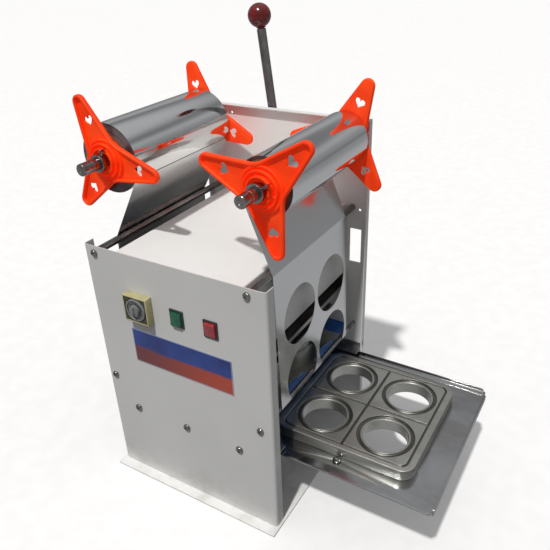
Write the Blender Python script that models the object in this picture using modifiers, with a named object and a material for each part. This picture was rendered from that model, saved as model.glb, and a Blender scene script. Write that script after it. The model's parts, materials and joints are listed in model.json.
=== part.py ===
"""Manual four-cup sealing machine with roll film, modelled as separate pieces at their real size.

Frame: metres, +Z up, origin on the floor under the middle of the machine. The control panel faces -Y, the
drawer pulls out along +X, and the tall back plate that carries the two film rolls stands at +Y.
"""
import math

import bmesh
import bpy
from mathutils import Matrix, Vector

# ---------------------------------------------------------------------------
# Driving dimensions (metres)
# ---------------------------------------------------------------------------
GAP = 0.0003                     # clearance between pieces that touch

WIDTH = 0.340                    # cabinet width
PANEL_FRONT = -0.165             # outer face of the control panel
BACK_FRONT = 0.180               # inner face of the back plate
BASE_THICK = 0.003
BASE_SIDE = 0.004                # how far the base shows beyond each side
BASE_LIP = 0.018                 # how far the base shows in front of the panel
PANEL_TOP = 0.4645
PANEL_SHEET = 0.0015
PANEL_FLANGE = 0.020
BEND = 0.005
BACK_SHEET = 0.0025
BACK_TOP = 0.613
BACK_FLANGE = 0.012

COVER_X = (-0.115, 0.127)
COVER_TOP = 0.458
COVER_SKIRT = 0.321
COVER_SHEET = 0.0012

MOULD_PITCH = 0.110              # cup spacing both ways
CENTRE_Y = 0.021                 # middle of the head, die, mould and film holes
DRAWER_TRAVEL = 0.248            # the drawer is drawn out at rest
TRAY_TOP = 0.143
TRAY_THICK = 0.003
TRAY_Y = (-0.134, 0.176)
TRAY_LENGTH = 0.330
MOULD_SIZE = (0.240, 0.232)
MOULD_THICK = 0.020
MOULD_CORNER = 0.022
CUP_RADIUS = 0.037
CUP_SIDES = 28                   # facets of the large round holes

RODS = {"top_left": (-0.1485, 0.453), "top_right": (0.139, 0.453),
        "low_left": (-0.1535, 0.211), "low_right": (0.148, 0.211)}
ROD_RADIUS = {"top_left": 0.006, "top_right": 0.006, "low_left": 0.004, "low_right": 0.004}
ROD_TAP = (0.0026, 0.012)        # radius and depth of the thread in a rod's front end
ROD_SCREW = (0.0060, 0.0045, 0.012)   # head radius, head height, shank
RAIL_SCREW = (0.0065, 0.0045, 0.008)
SCREW_SHANK_RADIUS = 0.0022

RAIL_BOLT_X = (-0.1106, -0.0029, 0.1048)
RAIL_BOLT_Z = 0.152
RAIL_LENGTH = 0.328
RAIL_SHEET = 0.0025
RAIL_TOP = 0.1665

FILM_THICK = 0.0005
FILM_Y = (-0.107, 0.135)
FILM_HOLE = 0.0505
FILM_HOLE_Z = (0.353, 0.241)

ROLL_Z = 0.590
ROLL_X = {"supply": -0.141, "takeup": 0.139}
ROLL_RADIUS = {"supply": 0.055, "takeup": 0.043}
CORE_RADIUS = (0.033, 0.038)
ROLL_SHAFT_RADIUS = 0.0095
COLLAR_Y = (-0.1345, -0.1255)
COLLAR_RADIUS = 0.0138
SHAFT_SIDES = 24
STAR_TIP = 0.103
STAR_TIP_ROUND = 0.0115
STAR_HUB = 0.034
STAR_SHEET = 0.0032
STAR_RIB = 0.0075                # height of the rim above the sheet
STAR_STANDOFF = 0.0035           # from the end of the film to the sheet of a star
STAR_ANGLES = {"supply": (112.5, 103.5), "takeup": (163.0, 66.5)}
HEART_DISTANCE = 0.063
HEART_SIZE = 0.0088
WING_ANGLE = {"supply": 62, "takeup": 35}

DIE_TOP = 0.204
DIE_SKIRT = 0.168
DIE_HALF_X = 0.128
DIE_SHEET = 0.003
DIE_HOLE = 0.052

HEAD_BOTTOM = 0.2095
HEAD_RADIUS = 0.046
CUTTER_RADIUS = 0.049
HEAD_PLATE_Z = (0.253, 0.265)
HEAD_PLATE_HALF = 0.122
POST_X = 0.080
POST_RADIUS = 0.006
POST_TOP = 0.397
POST_CAP = 0.0045                # thickness of the head of a guide post
BRIDGE_Z = (0.284, 0.292)
SPRING_RADIUS = 0.0092
SPRING_WIRE = 0.0011
SPRING_TURNS = 7
SPRING_STEPS = 10                # points on each turn

LEVER_AXIS_Z = 0.343
LEVER_Y = 0.200
LEVER_SHAFT_RADIUS = 0.008
LEVER_SHAFT_Y = (-0.056, 0.210)
LEVER_ROD_RADIUS = 0.008
LEVER_STUD_RADIUS = 0.0055       # threaded end of the rod inside the ball
LEVER_HUB = (0.017, 0.018)       # radius and width
BALL = (-0.052, 0.762)
BALL_RADIUS = 0.020
GEAR_MODULE = 0.0035
PINION_TEETH = 16
GEAR_WIDTH = 0.020
PRESSURE_ANGLE = math.radians(20)
ADDENDUM = 0.8                   # tooth height above and below the pitch line, in modules
DEDENDUM = 1.15
BACKLASH = 0.00044
RACK_TOP = 0.402
RACK_DEPTH = 0.018               # from the pitch line to the back of the rack

THERMOSTAT = (-0.0655, 0.3765)
THERMOSTAT_SIZE = 0.048
THERMOSTAT_DEPTH = 0.0137        # in front of the panel
THERMOSTAT_REAR = 0.022          # half the width of the body behind the panel
DIAL_SINK = 0.003                # depth of the round recess
SWITCHES = {"green": (0.007, 0.376), "red": (0.0705, 0.376)}
SWITCH_HALF = (0.0130, 0.0155)   # bezel
SWITCH_BODY = (0.0108, 0.0133)
SWITCH_WELL = (0.0098, 0.0125)
ROCKER_AXIS_Y = -0.166
ROCKER_RADIUS = 0.0121
ROCKER_FLAT = 0.0050             # from the rocker's axis out to the edges of its face
ROCKER_DISH = 0.0044             # and to the middle of its face
ROCKER_TILT = {"green": -7, "red": 7}

GLAND_X = -0.120
GLAND_Z = 0.045
GLAND_RADIUS = 0.008

MOULD_SCREW = (0.250, -0.1035)
GROOVE_DEPTH = 0.0025
RING_GROOVE = (0.0036, 0.0107, 0.0035)   # inner and outer distance from the cup hole, depth

PINION_RADIUS = GEAR_MODULE * PINION_TEETH / 2

# ---------------------------------------------------------------------------
# Scene, materials and small tools
# ---------------------------------------------------------------------------
for old in list(bpy.data.objects):
    bpy.data.objects.remove(old, do_unlink=True)

PARTS = bpy.data.collections.new("cup_sealing_machine")
CUTTERS = bpy.data.collections.new("cutters")
for collection in (PARTS, CUTTERS):
    bpy.context.scene.collection.children.link(collection)

FINISHES = {
    "white_paint": ((0.80, 0.80, 0.79), 0.40, 0.0),
    "blue_paint": ((0.00, 0.10, 0.42), 0.35, 0.0),
    "steel": ((0.46, 0.46, 0.45), 0.35, 1.0),
    "zinc_sheet": ((0.42, 0.43, 0.43), 0.42, 1.0),
    "chrome": ((0.62, 0.62, 0.62), 0.12, 1.0),
    "aluminium": ((0.56, 0.57, 0.56), 0.34, 1.0),
    "mirror_film": ((0.74, 0.75, 0.76), 0.10, 1.0),
    "cardboard": ((0.20, 0.10, 0.05), 0.90, 0.0),
    "orange_plastic": ((0.95, 0.10, 0.01), 0.38, 0.0),
    "red_ball": ((0.16, 0.005, 0.008), 0.18, 0.0),
    "black_plastic": ((0.02, 0.02, 0.02), 0.45, 0.0),
    "olive_plastic": ((0.42, 0.39, 0.18), 0.45, 0.0),
    "clear_plastic": ((0.55, 0.56, 0.55), 0.15, 0.0),
    "green_lens": ((0.00, 0.12, 0.05), 0.20, 0.0),
    "red_lens": ((0.35, 0.01, 0.02), 0.20, 0.0),
    "label": ((0.06, 0.09, 0.30), 0.45, 0.0),
}


def make_material(name):
    colour, roughness, metallic = FINISHES[name]
    material = bpy.data.materials.new(name)
    material.use_nodes = True
    shader = material.node_tree.nodes["Principled BSDF"]
    shader.inputs["Base Color"].default_value = (*colour, 1.0)
    shader.inputs["Roughness"].default_value = roughness
    shader.inputs["Metallic"].default_value = metallic
    material.diffuse_color = (*colour, 1.0)
    return material


MATERIALS = {name: make_material(name) for name in FINISHES}

# Local Z of a turned or extruded shape laid along each world axis
ALONG = {"X": Matrix.Rotation(math.radians(90), 4, "Y"),
         "Y": Matrix.Rotation(math.radians(-90), 4, "X"),
         "Z": Matrix.Identity(4)}


def add(name, data, finish=None, matrix=None):
    """Link a mesh or curve as a part, or as a cutter when it has no finish."""
    obj = bpy.data.objects.new(name, data)
    if finish:
        data.materials.append(MATERIALS[finish])
        PARTS.objects.link(obj)
    else:
        obj.hide_render = True
        obj.display_type = "WIRE"
        CUTTERS.objects.link(obj)
    if matrix is not None:
        obj.matrix_world = matrix
    return obj


def smooth(mesh, angle=35):
    mesh.shade_smooth()
    mesh.set_sharp_from_angle(angle=math.radians(angle))


def box(name, low, high, finish=None, bevel=0.0, segments=2):
    """Axis-aligned block between two corners."""
    low, high = Vector(low), Vector(high)
    bm = bmesh.new()
    bmesh.ops.create_cube(bm, size=1.0)
    bmesh.ops.scale(bm, vec=high - low, verts=bm.verts)
    mesh = bpy.data.meshes.new(name)
    bm.to_mesh(mesh)
    bm.free()
    obj = add(name, mesh, finish, Matrix.Translation((low + high) / 2))
    if bevel:
        rounding = obj.modifiers.new("round", "BEVEL")
        rounding.width = bevel
        rounding.segments = segments
    return obj


def cylinder(name, centre, radius, length, axis="Z", finish=None, sides=32):
    """Cylinder whose middle is at centre."""
    bm = bmesh.new()
    bmesh.ops.create_cone(bm, cap_ends=True, segments=sides, radius1=radius, radius2=radius, depth=length)
    mesh = bpy.data.meshes.new(name)
    bm.to_mesh(mesh)
    bm.free()
    smooth(mesh)
    return add(name, mesh, finish, Matrix.Translation(centre) @ ALONG[axis])


def turned(name, profile, origin, axis="Z", finish=None, sides=32, flip=False):
    """Solid of revolution. profile lists (radius, height) down its outer side, height along the axis."""
    bm = bmesh.new()
    verts = [bm.verts.new((radius, 0.0, height)) for radius, height in profile]
    for first, second in zip(verts, verts[1:]):
        bm.edges.new((first, second))
    if profile[0][0] > 0:
        bm.edges.new((verts[-1], verts[0]))
    mesh = bpy.data.meshes.new(name)
    bm.to_mesh(mesh)
    bm.free()
    turn = Matrix.Rotation(math.pi, 4, "X") if flip else Matrix.Identity(4)
    obj = add(name, mesh, finish, Matrix.Translation(origin) @ ALONG[axis] @ turn)
    screw = obj.modifiers.new("turn", "SCREW")
    screw.axis = "Z"
    screw.steps = sides
    screw.render_steps = sides
    screw.use_merge_vertices = True
    screw.merge_threshold = 0.00001
    return obj


def outline(name, loops, centre, thickness, axis, finish=None):
    """Flat plate: closed 2D loops (the later ones are holes), thickness along the axis."""
    curve = bpy.data.curves.new(name, "CURVE")
    curve.dimensions = "2D"
    curve.fill_mode = "BOTH"
    curve.extrude = thickness / 2
    for points in loops:
        spline = curve.splines.new("POLY")
        spline.points.add(len(points) - 1)
        for target, (u, v) in zip(spline.points, points):
            target.co = (u, v, 0.0, 1.0)
        spline.use_cyclic_u = True
    obj = add(name, curve, None, Matrix.Translation(centre) @ axis)
    return to_mesh(obj, finish)


def to_mesh(obj, finish):
    """Replace a curve object by its welded mesh."""
    depsgraph = bpy.context.evaluated_depsgraph_get()
    depsgraph.update()
    mesh = bpy.data.meshes.new_from_object(obj.evaluated_get(depsgraph))
    bm = bmesh.new()
    bm.from_mesh(mesh)
    bmesh.ops.remove_doubles(bm, verts=bm.verts, dist=0.00001)
    bmesh.ops.recalc_face_normals(bm, faces=bm.faces)
    bm.to_mesh(mesh)
    bm.free()
    name, matrix = obj.name, obj.matrix_world.copy()
    bpy.data.objects.remove(obj, do_unlink=True)
    mesh.materials.clear()
    return add(name, mesh, finish, matrix)


def bent_sheet(name, path, run, thickness, matrix, finish, offset=0.0):
    """Sheet metal: a 2D centre line (u, v) drawn out along w over run, given a thickness."""
    bm = bmesh.new()
    verts = [bm.verts.new((u, v, run[0])) for u, v in path]
    edges = [bm.edges.new(pair) for pair in zip(verts, verts[1:])]
    drawn = bmesh.ops.extrude_edge_only(bm, edges=edges)["geom"]
    moved = [item for item in drawn if isinstance(item, bmesh.types.BMVert)]
    bmesh.ops.translate(bm, vec=(0, 0, run[1] - run[0]), verts=moved)
    mesh = bpy.data.meshes.new(name)
    bm.to_mesh(mesh)
    bm.free()
    obj = add(name, mesh, finish, matrix)
    solid = obj.modifiers.new("sheet", "SOLIDIFY")
    solid.thickness = thickness
    solid.offset = offset
    return obj


def boolean(obj, tools, operation="DIFFERENCE"):
    for tool in tools:
        step = obj.modifiers.new(operation.lower(), "BOOLEAN")
        step.operation = operation
        step.solver = "EXACT"
        step.object = tool
    return obj


def arc(centre, radius, start, end, count):
    """Points of an arc, angles in degrees."""
    angles = [math.radians(start + (end - start) * i / count) for i in range(count + 1)]
    return [(centre[0] + radius * math.cos(a), centre[1] + radius * math.sin(a)) for a in angles]


def circle(centre, radius, count):
    return arc(centre, radius, 0, 360, count)[:-1]


# Plane of a 2D shape: (u, v) to world axes, with the thickness along the third
PLANE_XY = Matrix.Identity(4)
PLANE_XZ = Matrix(((1, 0, 0, 0), (0, 0, -1, 0), (0, 1, 0, 0), (0, 0, 0, 1)))
PLANE_YZ = Matrix(((0, 0, 1, 0), (1, 0, 0, 0), (0, 1, 0, 0), (0, 0, 0, 1)))


# ---------------------------------------------------------------------------
# Cabinet
# ---------------------------------------------------------------------------
def make_base():
    box("base_plate", (-WIDTH / 2 - BASE_SIDE, PANEL_FRONT - BASE_LIP, 0.0),
        (WIDTH / 2 + BASE_SIDE, BACK_FRONT + BACK_SHEET + BASE_SIDE, BASE_THICK), "white_paint", 0.0006, 1)


def screw_hole(name, x, z, radius=0.0028):
    """Cutter for a screw that passes through the front panel."""
    return cylinder(name, (x, PANEL_FRONT, z), radius, 0.012, "Y", sides=8)


def make_front_panel():
    half = WIDTH / 2 - PANEL_SHEET / 2
    front = PANEL_FRONT + PANEL_SHEET / 2
    rear = PANEL_FRONT + PANEL_FLANGE
    radius = BEND - PANEL_SHEET / 2
    left = arc((-half + radius, front + radius), radius, 180, 270, 5)
    right = arc((half - radius, front + radius), radius, 270, 360, 5)
    path = [(-half, rear)] + left + right + [(half, rear)]
    panel = bent_sheet("front_panel", path, (BASE_THICK + GAP, PANEL_TOP), PANEL_SHEET, PLANE_XY, "white_paint")
    cutters = [screw_hole(f"cut_rod_screw_{name}", x, z) for name, (x, z) in RODS.items()]
    cutters += [screw_hole(f"cut_rail_bolt_{i}", x, RAIL_BOLT_Z) for i, x in enumerate(RAIL_BOLT_X)]
    fit = 0.0005
    openings = {"thermostat": (THERMOSTAT, THERMOSTAT_REAR + fit, THERMOSTAT_REAR + fit)}
    for name, centre in SWITCHES.items():
        openings[f"switch_{name}"] = (centre, SWITCH_BODY[0] + fit, SWITCH_BODY[1] + fit)
    for name, ((x, z), half_x, half_z) in openings.items():
        cutters.append(box(f"cut_{name}", (x - half_x, PANEL_FRONT - 0.01, z - half_z),
                           (x + half_x, PANEL_FRONT + 0.01, z + half_z)))
    boolean(panel, cutters)


def make_back_plate():
    """Folded plate: the rim runs up both sides and along the top, open at the floor."""
    bm = bmesh.new()
    bmesh.ops.create_cube(bm, size=1.0)
    size = (WIDTH - BACK_SHEET, BACK_FLANGE - BACK_SHEET / 2, BACK_TOP - BASE_THICK - GAP - BACK_SHEET / 2)
    bmesh.ops.scale(bm, vec=size, verts=bm.verts)
    unwanted = [face for face in bm.faces if face.normal.y < -0.5 or face.normal.z < -0.5]
    bmesh.ops.delete(bm, geom=unwanted, context="FACES")
    mesh = bpy.data.meshes.new("back_plate")
    bm.to_mesh(mesh)
    bm.free()
    middle = (0.0, BACK_FRONT + BACK_SHEET / 2 - size[1] / 2, BASE_THICK + GAP + size[2] / 2)
    plate = add("back_plate", mesh, "white_paint", Matrix.Translation(middle))
    solid = plate.modifiers.new("sheet", "SOLIDIFY")
    solid.thickness = BACK_SHEET
    solid.offset = 0.0
    cutters = [
        box("cut_drawer_notch", (0.150, BACK_FRONT - 0.03, 0.128), (0.180, BACK_FRONT - 0.0005, 0.176)),
        box("cut_slot", (0.135, BACK_FRONT - 0.005, 0.344), (0.157, BACK_FRONT + 0.01, 0.411)),
        cylinder("cut_shaft", (0.0, BACK_FRONT, LEVER_AXIS_Z), LEVER_SHAFT_RADIUS + 0.001, 0.02, "Y", sides=24),
        cylinder("cut_top_hole", (-0.109, BACK_FRONT, 0.596), 0.0025, 0.02, "Y", sides=12),
        cylinder("cut_side_hole", (0.153, BACK_FRONT, 0.449), 0.0025, 0.02, "Y", sides=12),
        cylinder("cut_gland", (GLAND_X, BACK_FRONT, GLAND_Z), GLAND_RADIUS + GAP, 0.02, "Y", sides=24),
    ]
    boolean(plate, cutters)


def make_top_cover():
    left, right = COVER_X[0] + COVER_SHEET / 2, COVER_X[1] - COVER_SHEET / 2
    top = COVER_TOP - COVER_SHEET / 2
    radius = 0.002
    path = [(right, COVER_SKIRT)]
    path += arc((right - radius, top - radius), radius, 0, 90, 3)
    path += arc((left + radius, top - radius), radius, 90, 180, 3)
    path.append((left, COVER_SKIRT))
    run = (-(BACK_FRONT - GAP), -(PANEL_FRONT + PANEL_SHEET + GAP))
    bent_sheet("top_cover", path, run, COVER_SHEET, PLANE_XZ, "white_paint")


def make_label():
    box("panel_label", (-0.094, PANEL_FRONT - GAP - 0.0006, 0.263),
        (0.103, PANEL_FRONT - GAP, 0.328), "label")


def make_cable_gland():
    """Plastic gland for the mains lead, through the foot of the back plate."""
    outside = BACK_SHEET + GAP
    profile = [(0.0036, 0.020 + outside), (0.0075, 0.020 + outside), (0.0095, 0.014 + outside),
               (0.0095, 0.005 + outside), (0.012, 0.005 + outside), (0.012, outside), (GLAND_RADIUS, outside),
               (GLAND_RADIUS, -0.006), (0.0036, -0.006)]
    turned("cable_gland", profile, (GLAND_X, BACK_FRONT, GLAND_Z), "Y", "black_plastic", 16)


# ---------------------------------------------------------------------------
# Film guide rods, screws and drawer rails
# ---------------------------------------------------------------------------
def make_rods():
    front = PANEL_FRONT + PANEL_SHEET + GAP
    rear = BACK_FRONT - GAP
    for name, (x, z) in RODS.items():
        middle = (x, (front + rear) / 2, z)
        rod = cylinder(f"guide_rod_{name}", middle, ROD_RADIUS[name], rear - front, "Y", "chrome", 20)
        tap_radius, tap_depth = ROD_TAP
        boolean(rod, [cylinder(f"tap_{name}", (x, front, z), tap_radius, 2 * tap_depth, "Y", sides=12)])
        make_screw(f"rod_screw_{name}", x, z, *ROD_SCREW)
    for index, x in enumerate(RAIL_BOLT_X):
        make_screw(f"rail_bolt_{index + 1}", x, RAIL_BOLT_Z, *RAIL_SCREW)


def make_screw(name, x, z, head_radius, head_height, shank):
    """Pan-head screw entering the panel from the front: the head looks along -Y."""
    seat = PANEL_FRONT - GAP
    profile = [(0.0, head_height), (head_radius * 0.55, head_height * 0.92), (head_radius * 0.9, head_height * 0.55),
               (head_radius, head_height * 0.2), (head_radius, 0.0), (SCREW_SHANK_RADIUS, 0.0),
               (SCREW_SHANK_RADIUS, -shank), (0.0, -shank)]
    turned(name, profile, (x, seat, z), "Y", "chrome", 12, flip=True)


def rail_section(web_out, reach, keeper_low, side):
    """F-shaped rail section in (y, z): a web on the wall and two legs that hold the tray edge between them."""
    low = TRAY_TOP - TRAY_THICK - GAP - RAIL_SHEET
    web_in = web_out + side * RAIL_SHEET
    ledge, keeper_high = low + RAIL_SHEET, keeper_low + RAIL_SHEET
    return [(web_out, low), (reach, low), (reach, ledge), (web_in, ledge), (web_in, keeper_low),
            (reach, keeper_low), (reach, keeper_high), (web_in, keeper_high), (web_in, RAIL_TOP),
            (web_out, RAIL_TOP)]


def make_rails():
    wall = PANEL_FRONT + PANEL_SHEET + GAP
    section = rail_section(wall, TRAY_Y[0] + 0.014, TRAY_TOP + 0.003, 1)
    rail = outline("drawer_rail_front", [section], (0, 0, 0), RAIL_LENGTH, PLANE_YZ, "steel")
    boolean(rail, [screw_hole(f"cut_rail_{i}", x, RAIL_BOLT_Z) for i, x in enumerate(RAIL_BOLT_X)])
    wall = BACK_FRONT - GAP
    section = rail_section(wall, TRAY_Y[1] - 0.016, TRAY_TOP + 0.0073, -1)
    outline("drawer_rail_rear", [section], (0, 0, 0), RAIL_LENGTH, PLANE_YZ, "steel")


# ---------------------------------------------------------------------------
# Drawer with the cup mould
# ---------------------------------------------------------------------------
def cup_places(centre_x):
    """Names and centres of the four cup positions."""
    half = MOULD_PITCH / 2
    return {"front_left": (centre_x - half, CENTRE_Y - half), "front_right": (centre_x + half, CENTRE_Y - half),
            "rear_left": (centre_x - half, CENTRE_Y + half), "rear_right": (centre_x + half, CENTRE_Y + half)}


def make_tray():
    end = DRAWER_TRAVEL + TRAY_LENGTH / 2
    start = end - TRAY_LENGTH
    low = TRAY_TOP - TRAY_THICK
    tray = box("drawer_tray", (start, TRAY_Y[0], low), (end, TRAY_Y[1], TRAY_TOP), "zinc_sheet")
    rear_lip = box("join_tray_lip", (start, TRAY_Y[1] - 0.002, low + 0.001),
                   (end - 0.004, TRAY_Y[1], TRAY_TOP + 0.006))
    rear_step = box("join_tray_step", (start, TRAY_Y[1] - 0.012, low + 0.001),
                    (end - 0.004, TRAY_Y[1] - 0.001, TRAY_TOP + 0.0015))
    end_flange = box("join_tray_end", (end - 0.0005, TRAY_Y[0] + 0.010, TRAY_TOP - 0.013),
                     (end + 0.0025, TRAY_Y[1] - 0.008, TRAY_TOP))
    boolean(tray, [rear_lip, rear_step, end_flange], "UNION")
    holes = [cylinder(f"cut_tray_{name}", (x, y, low), CUP_RADIUS + 0.002, 0.02, sides=CUP_SIDES)
             for name, (x, y) in cup_places(DRAWER_TRAVEL).items()]
    holes.append(cylinder("cut_mould_screw", (MOULD_SCREW[0], MOULD_SCREW[1], low), 0.0027, 0.02, sides=16))
    boolean(tray, holes)


def make_mould_screw():
    seat = TRAY_TOP + GAP
    profile = [(0.0, 0.0032), (0.0050, 0.0029), (0.0068, 0.0020), (0.0074, 0.0008), (0.0074, 0.0),
               (SCREW_SHANK_RADIUS, 0.0), (SCREW_SHANK_RADIUS, -0.008), (0.0, -0.008)]
    turned("mould_screw", profile, (MOULD_SCREW[0], MOULD_SCREW[1], seat), "Z", "chrome", 12)


def frame_cutter(name, half_x, half_y, corner, width, low, high):
    """Groove cutter that follows a rounded rectangle of the given half sizes."""
    loops = []
    for inset in (0.0, width):
        radius = corner - inset
        x, y = half_x - inset - radius, half_y - inset - radius
        loop = []
        for quarter, (sx, sy) in enumerate(((1, 1), (-1, 1), (-1, -1), (1, -1))):
            loop += arc((sx * x, sy * y), radius, 90 * quarter, 90 * quarter + 90, 3)
        loops.append(loop)
    return outline(name, loops, (DRAWER_TRAVEL, CENTRE_Y, (low + high) / 2), high - low, PLANE_XY)


def make_mould():
    """Machined plate: four through holes, each with a raised ring in a round groove, and straight grooves."""
    low = TRAY_TOP + GAP
    top = TRAY_TOP + MOULD_THICK
    half_x, half_y = MOULD_SIZE[0] / 2, MOULD_SIZE[1] / 2
    loop = []
    for quarter, (sx, sy) in enumerate(((1, 1), (-1, 1), (-1, -1), (1, -1))):
        corner = (sx * (half_x - MOULD_CORNER), sy * (half_y - MOULD_CORNER))
        loop += arc(corner, MOULD_CORNER, 90 * quarter, 90 * quarter + 90, 5)
    mould = outline("mould_plate", [loop], (DRAWER_TRAVEL, CENTRE_Y, (low + top) / 2), top - low, PLANE_XY,
                    "aluminium")
    floor = top - GROOVE_DEPTH
    above = top + 0.002
    cutters = [frame_cutter("cut_border", half_x - 0.010, half_y - 0.008, 0.014, 0.004, floor, above)]
    for name, (sx, sy) in {"x": (half_x - 0.012, 0.0025), "y": (0.0025, half_y - 0.010)}.items():
        cutters.append(box(f"cut_cross_{name}", (DRAWER_TRAVEL - sx, CENTRE_Y - sy, floor - 0.0001),
                           (DRAWER_TRAVEL + sx, CENTRE_Y + sy, above + 0.001)))
    inner, outer, depth = RING_GROOVE
    ring = [(CUP_RADIUS + outer, 0.006), (CUP_RADIUS + outer, -depth), (CUP_RADIUS + inner, -depth),
            (CUP_RADIUS + inner, 0.006)]
    for name, (x, y) in cup_places(DRAWER_TRAVEL).items():
        cutters.append(turned(f"cut_groove_{name}", ring, (x, y, top), sides=CUP_SIDES))
        cutters.append(cylinder(f"cut_cup_{name}", (x, y, top), CUP_RADIUS, 0.06, sides=CUP_SIDES))
    boolean(mould, cutters)


# ---------------------------------------------------------------------------
# Die plate, sealing head and its drive
# ---------------------------------------------------------------------------
def make_die_plate():
    """Blue channel under the film: the four heads pass through its holes."""
    half, top = DIE_HALF_X - DIE_SHEET / 2, DIE_TOP - DIE_SHEET / 2
    radius = 0.004
    path = [(half, DIE_SKIRT)] + arc((half - radius, top - radius), radius, 0, 90, 4)
    path += arc((-half + radius, top - radius), radius, 90, 180, 4) + [(-half, DIE_SKIRT)]
    run = (-(BACK_FRONT - GAP), -(PANEL_FRONT + PANEL_SHEET + GAP))
    die = bent_sheet("die_plate", path, run, DIE_SHEET, PLANE_XZ, "blue_paint")
    boolean(die, [cylinder(f"cut_die_{name}", (x, y, DIE_TOP), DIE_HOLE, 0.03, sides=CUP_SIDES)
                  for name, (x, y) in cup_places(0.0).items()])


def make_bridge():
    """Cross plate between panel and back plate; the posts and the rack pass through it."""
    low, top = BRIDGE_Z
    front, rear = PANEL_FRONT + PANEL_SHEET + GAP, BACK_FRONT - GAP
    half = COVER_X[0] + COVER_SHEET + 0.001, COVER_X[1] - COVER_SHEET - 0.001
    bridge = box("bridge_plate", (half[0], front, low), (half[1], rear, top), "steel")
    ends = [box("join_bridge_front", (half[0], front, low + 0.001), (half[1], front + 0.004, top + 0.022)),
            box("join_bridge_rear", (half[0], rear - 0.004, low + 0.001), (half[1], rear, top + 0.022))]
    boolean(bridge, ends, "UNION")
    cutters = [cylinder(f"cut_post_{side}", (side * POST_X, CENTRE_Y, low), POST_RADIUS + 0.0004, 0.05, sides=24)
               for side in (-1, 1)]
    cutters.append(box("cut_rack_slot", (PINION_RADIUS - 0.008, CENTRE_Y - GEAR_WIDTH / 2 - 0.003, low - 0.01),
                       (PINION_RADIUS + 0.024, CENTRE_Y + GEAR_WIDTH / 2 + 0.003, top + 0.01)))
    boolean(bridge, cutters)


def make_head():
    low, top = HEAD_PLATE_Z
    box("head_plate", (-HEAD_PLATE_HALF, CENTRE_Y - HEAD_PLATE_HALF, low),
        (HEAD_PLATE_HALF, CENTRE_Y + HEAD_PLATE_HALF, top), "aluminium", 0.001, 1)
    height = low - GAP - HEAD_BOTTOM
    profile = [(0.0, height), (HEAD_RADIUS, height), (HEAD_RADIUS, 0.014), (CUTTER_RADIUS, 0.012),
               (CUTTER_RADIUS, 0.0), (CUTTER_RADIUS - 0.002, 0.0), (CUTTER_RADIUS - 0.003, 0.003), (0.0, 0.003)]
    for name, (x, y) in cup_places(0.0).items():
        turned(f"sealing_head_{name}", profile, (x, y, HEAD_BOTTOM), finish="aluminium", sides=CUP_SIDES)
    base = top + GAP
    for side, name in ((-1, "left"), (1, "right")):
        under = POST_TOP - POST_CAP
        profile = [(0.0, POST_TOP), (0.012, POST_TOP), (0.013, POST_TOP - 0.001), (0.013, under),
                   (POST_RADIUS, under), (POST_RADIUS, base), (0.0, base)]
        turned(f"guide_post_{name}", profile, (side * POST_X, CENTRE_Y, 0.0), finish="chrome", sides=24)


def make_springs():
    """Return springs on the posts, between the bridge plate and the head of each post."""
    low = BRIDGE_Z[1] + GAP + SPRING_WIRE
    high = POST_TOP - POST_CAP - GAP - SPRING_WIRE
    total = SPRING_TURNS * SPRING_STEPS
    for side, name in ((-1, "left"), (1, "right")):
        curve = bpy.data.curves.new(f"return_spring_{name}", "CURVE")
        curve.dimensions = "3D"
        curve.bevel_depth = SPRING_WIRE
        curve.bevel_resolution = 1
        curve.use_fill_caps = True
        spline = curve.splines.new("POLY")
        spline.points.add(total)
        for index, point in enumerate(spline.points):
            angle = 2 * math.pi * index / SPRING_STEPS
            height = low + (high - low) * index / total
            point.co = (SPRING_RADIUS * math.cos(angle), SPRING_RADIUS * math.sin(angle), height, 1.0)
        add(f"return_spring_{name}", curve, "steel", Matrix.Translation((side * POST_X, CENTRE_Y, 0.0)))


def make_rack():
    """Straight rack on the head plate; its teeth look towards the pinion."""
    pitch = math.pi * GEAR_MODULE
    low, high = HEAD_PLATE_Z[1] + GAP, RACK_TOP
    back = PINION_RADIUS + RACK_DEPTH
    slope = math.tan(PRESSURE_ANGLE)
    above, below = ADDENDUM * GEAR_MODULE, DEDENDUM * GEAR_MODULE
    tip_x, root_x = PINION_RADIUS - above, PINION_RADIUS + below
    half_pitch_line = pitch / 4 - BACKLASH / 2
    tip_half = half_pitch_line - above * slope
    root_half = half_pitch_line + below * slope
    first = math.ceil((low + pitch - LEVER_AXIS_Z) / pitch)
    last = math.floor((high - pitch - LEVER_AXIS_Z) / pitch)
    points = [(back, low), (back, high), (root_x, high)]
    for index in range(last, first - 1, -1):
        z = LEVER_AXIS_Z + index * pitch
        points += [(root_x, z + root_half), (tip_x, z + tip_half), (tip_x, z - tip_half), (root_x, z - root_half)]
    points.append((root_x, low))
    outline("drive_rack", [points], (0.0, CENTRE_Y, 0.0), GEAR_WIDTH, PLANE_XZ, "steel")


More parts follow.
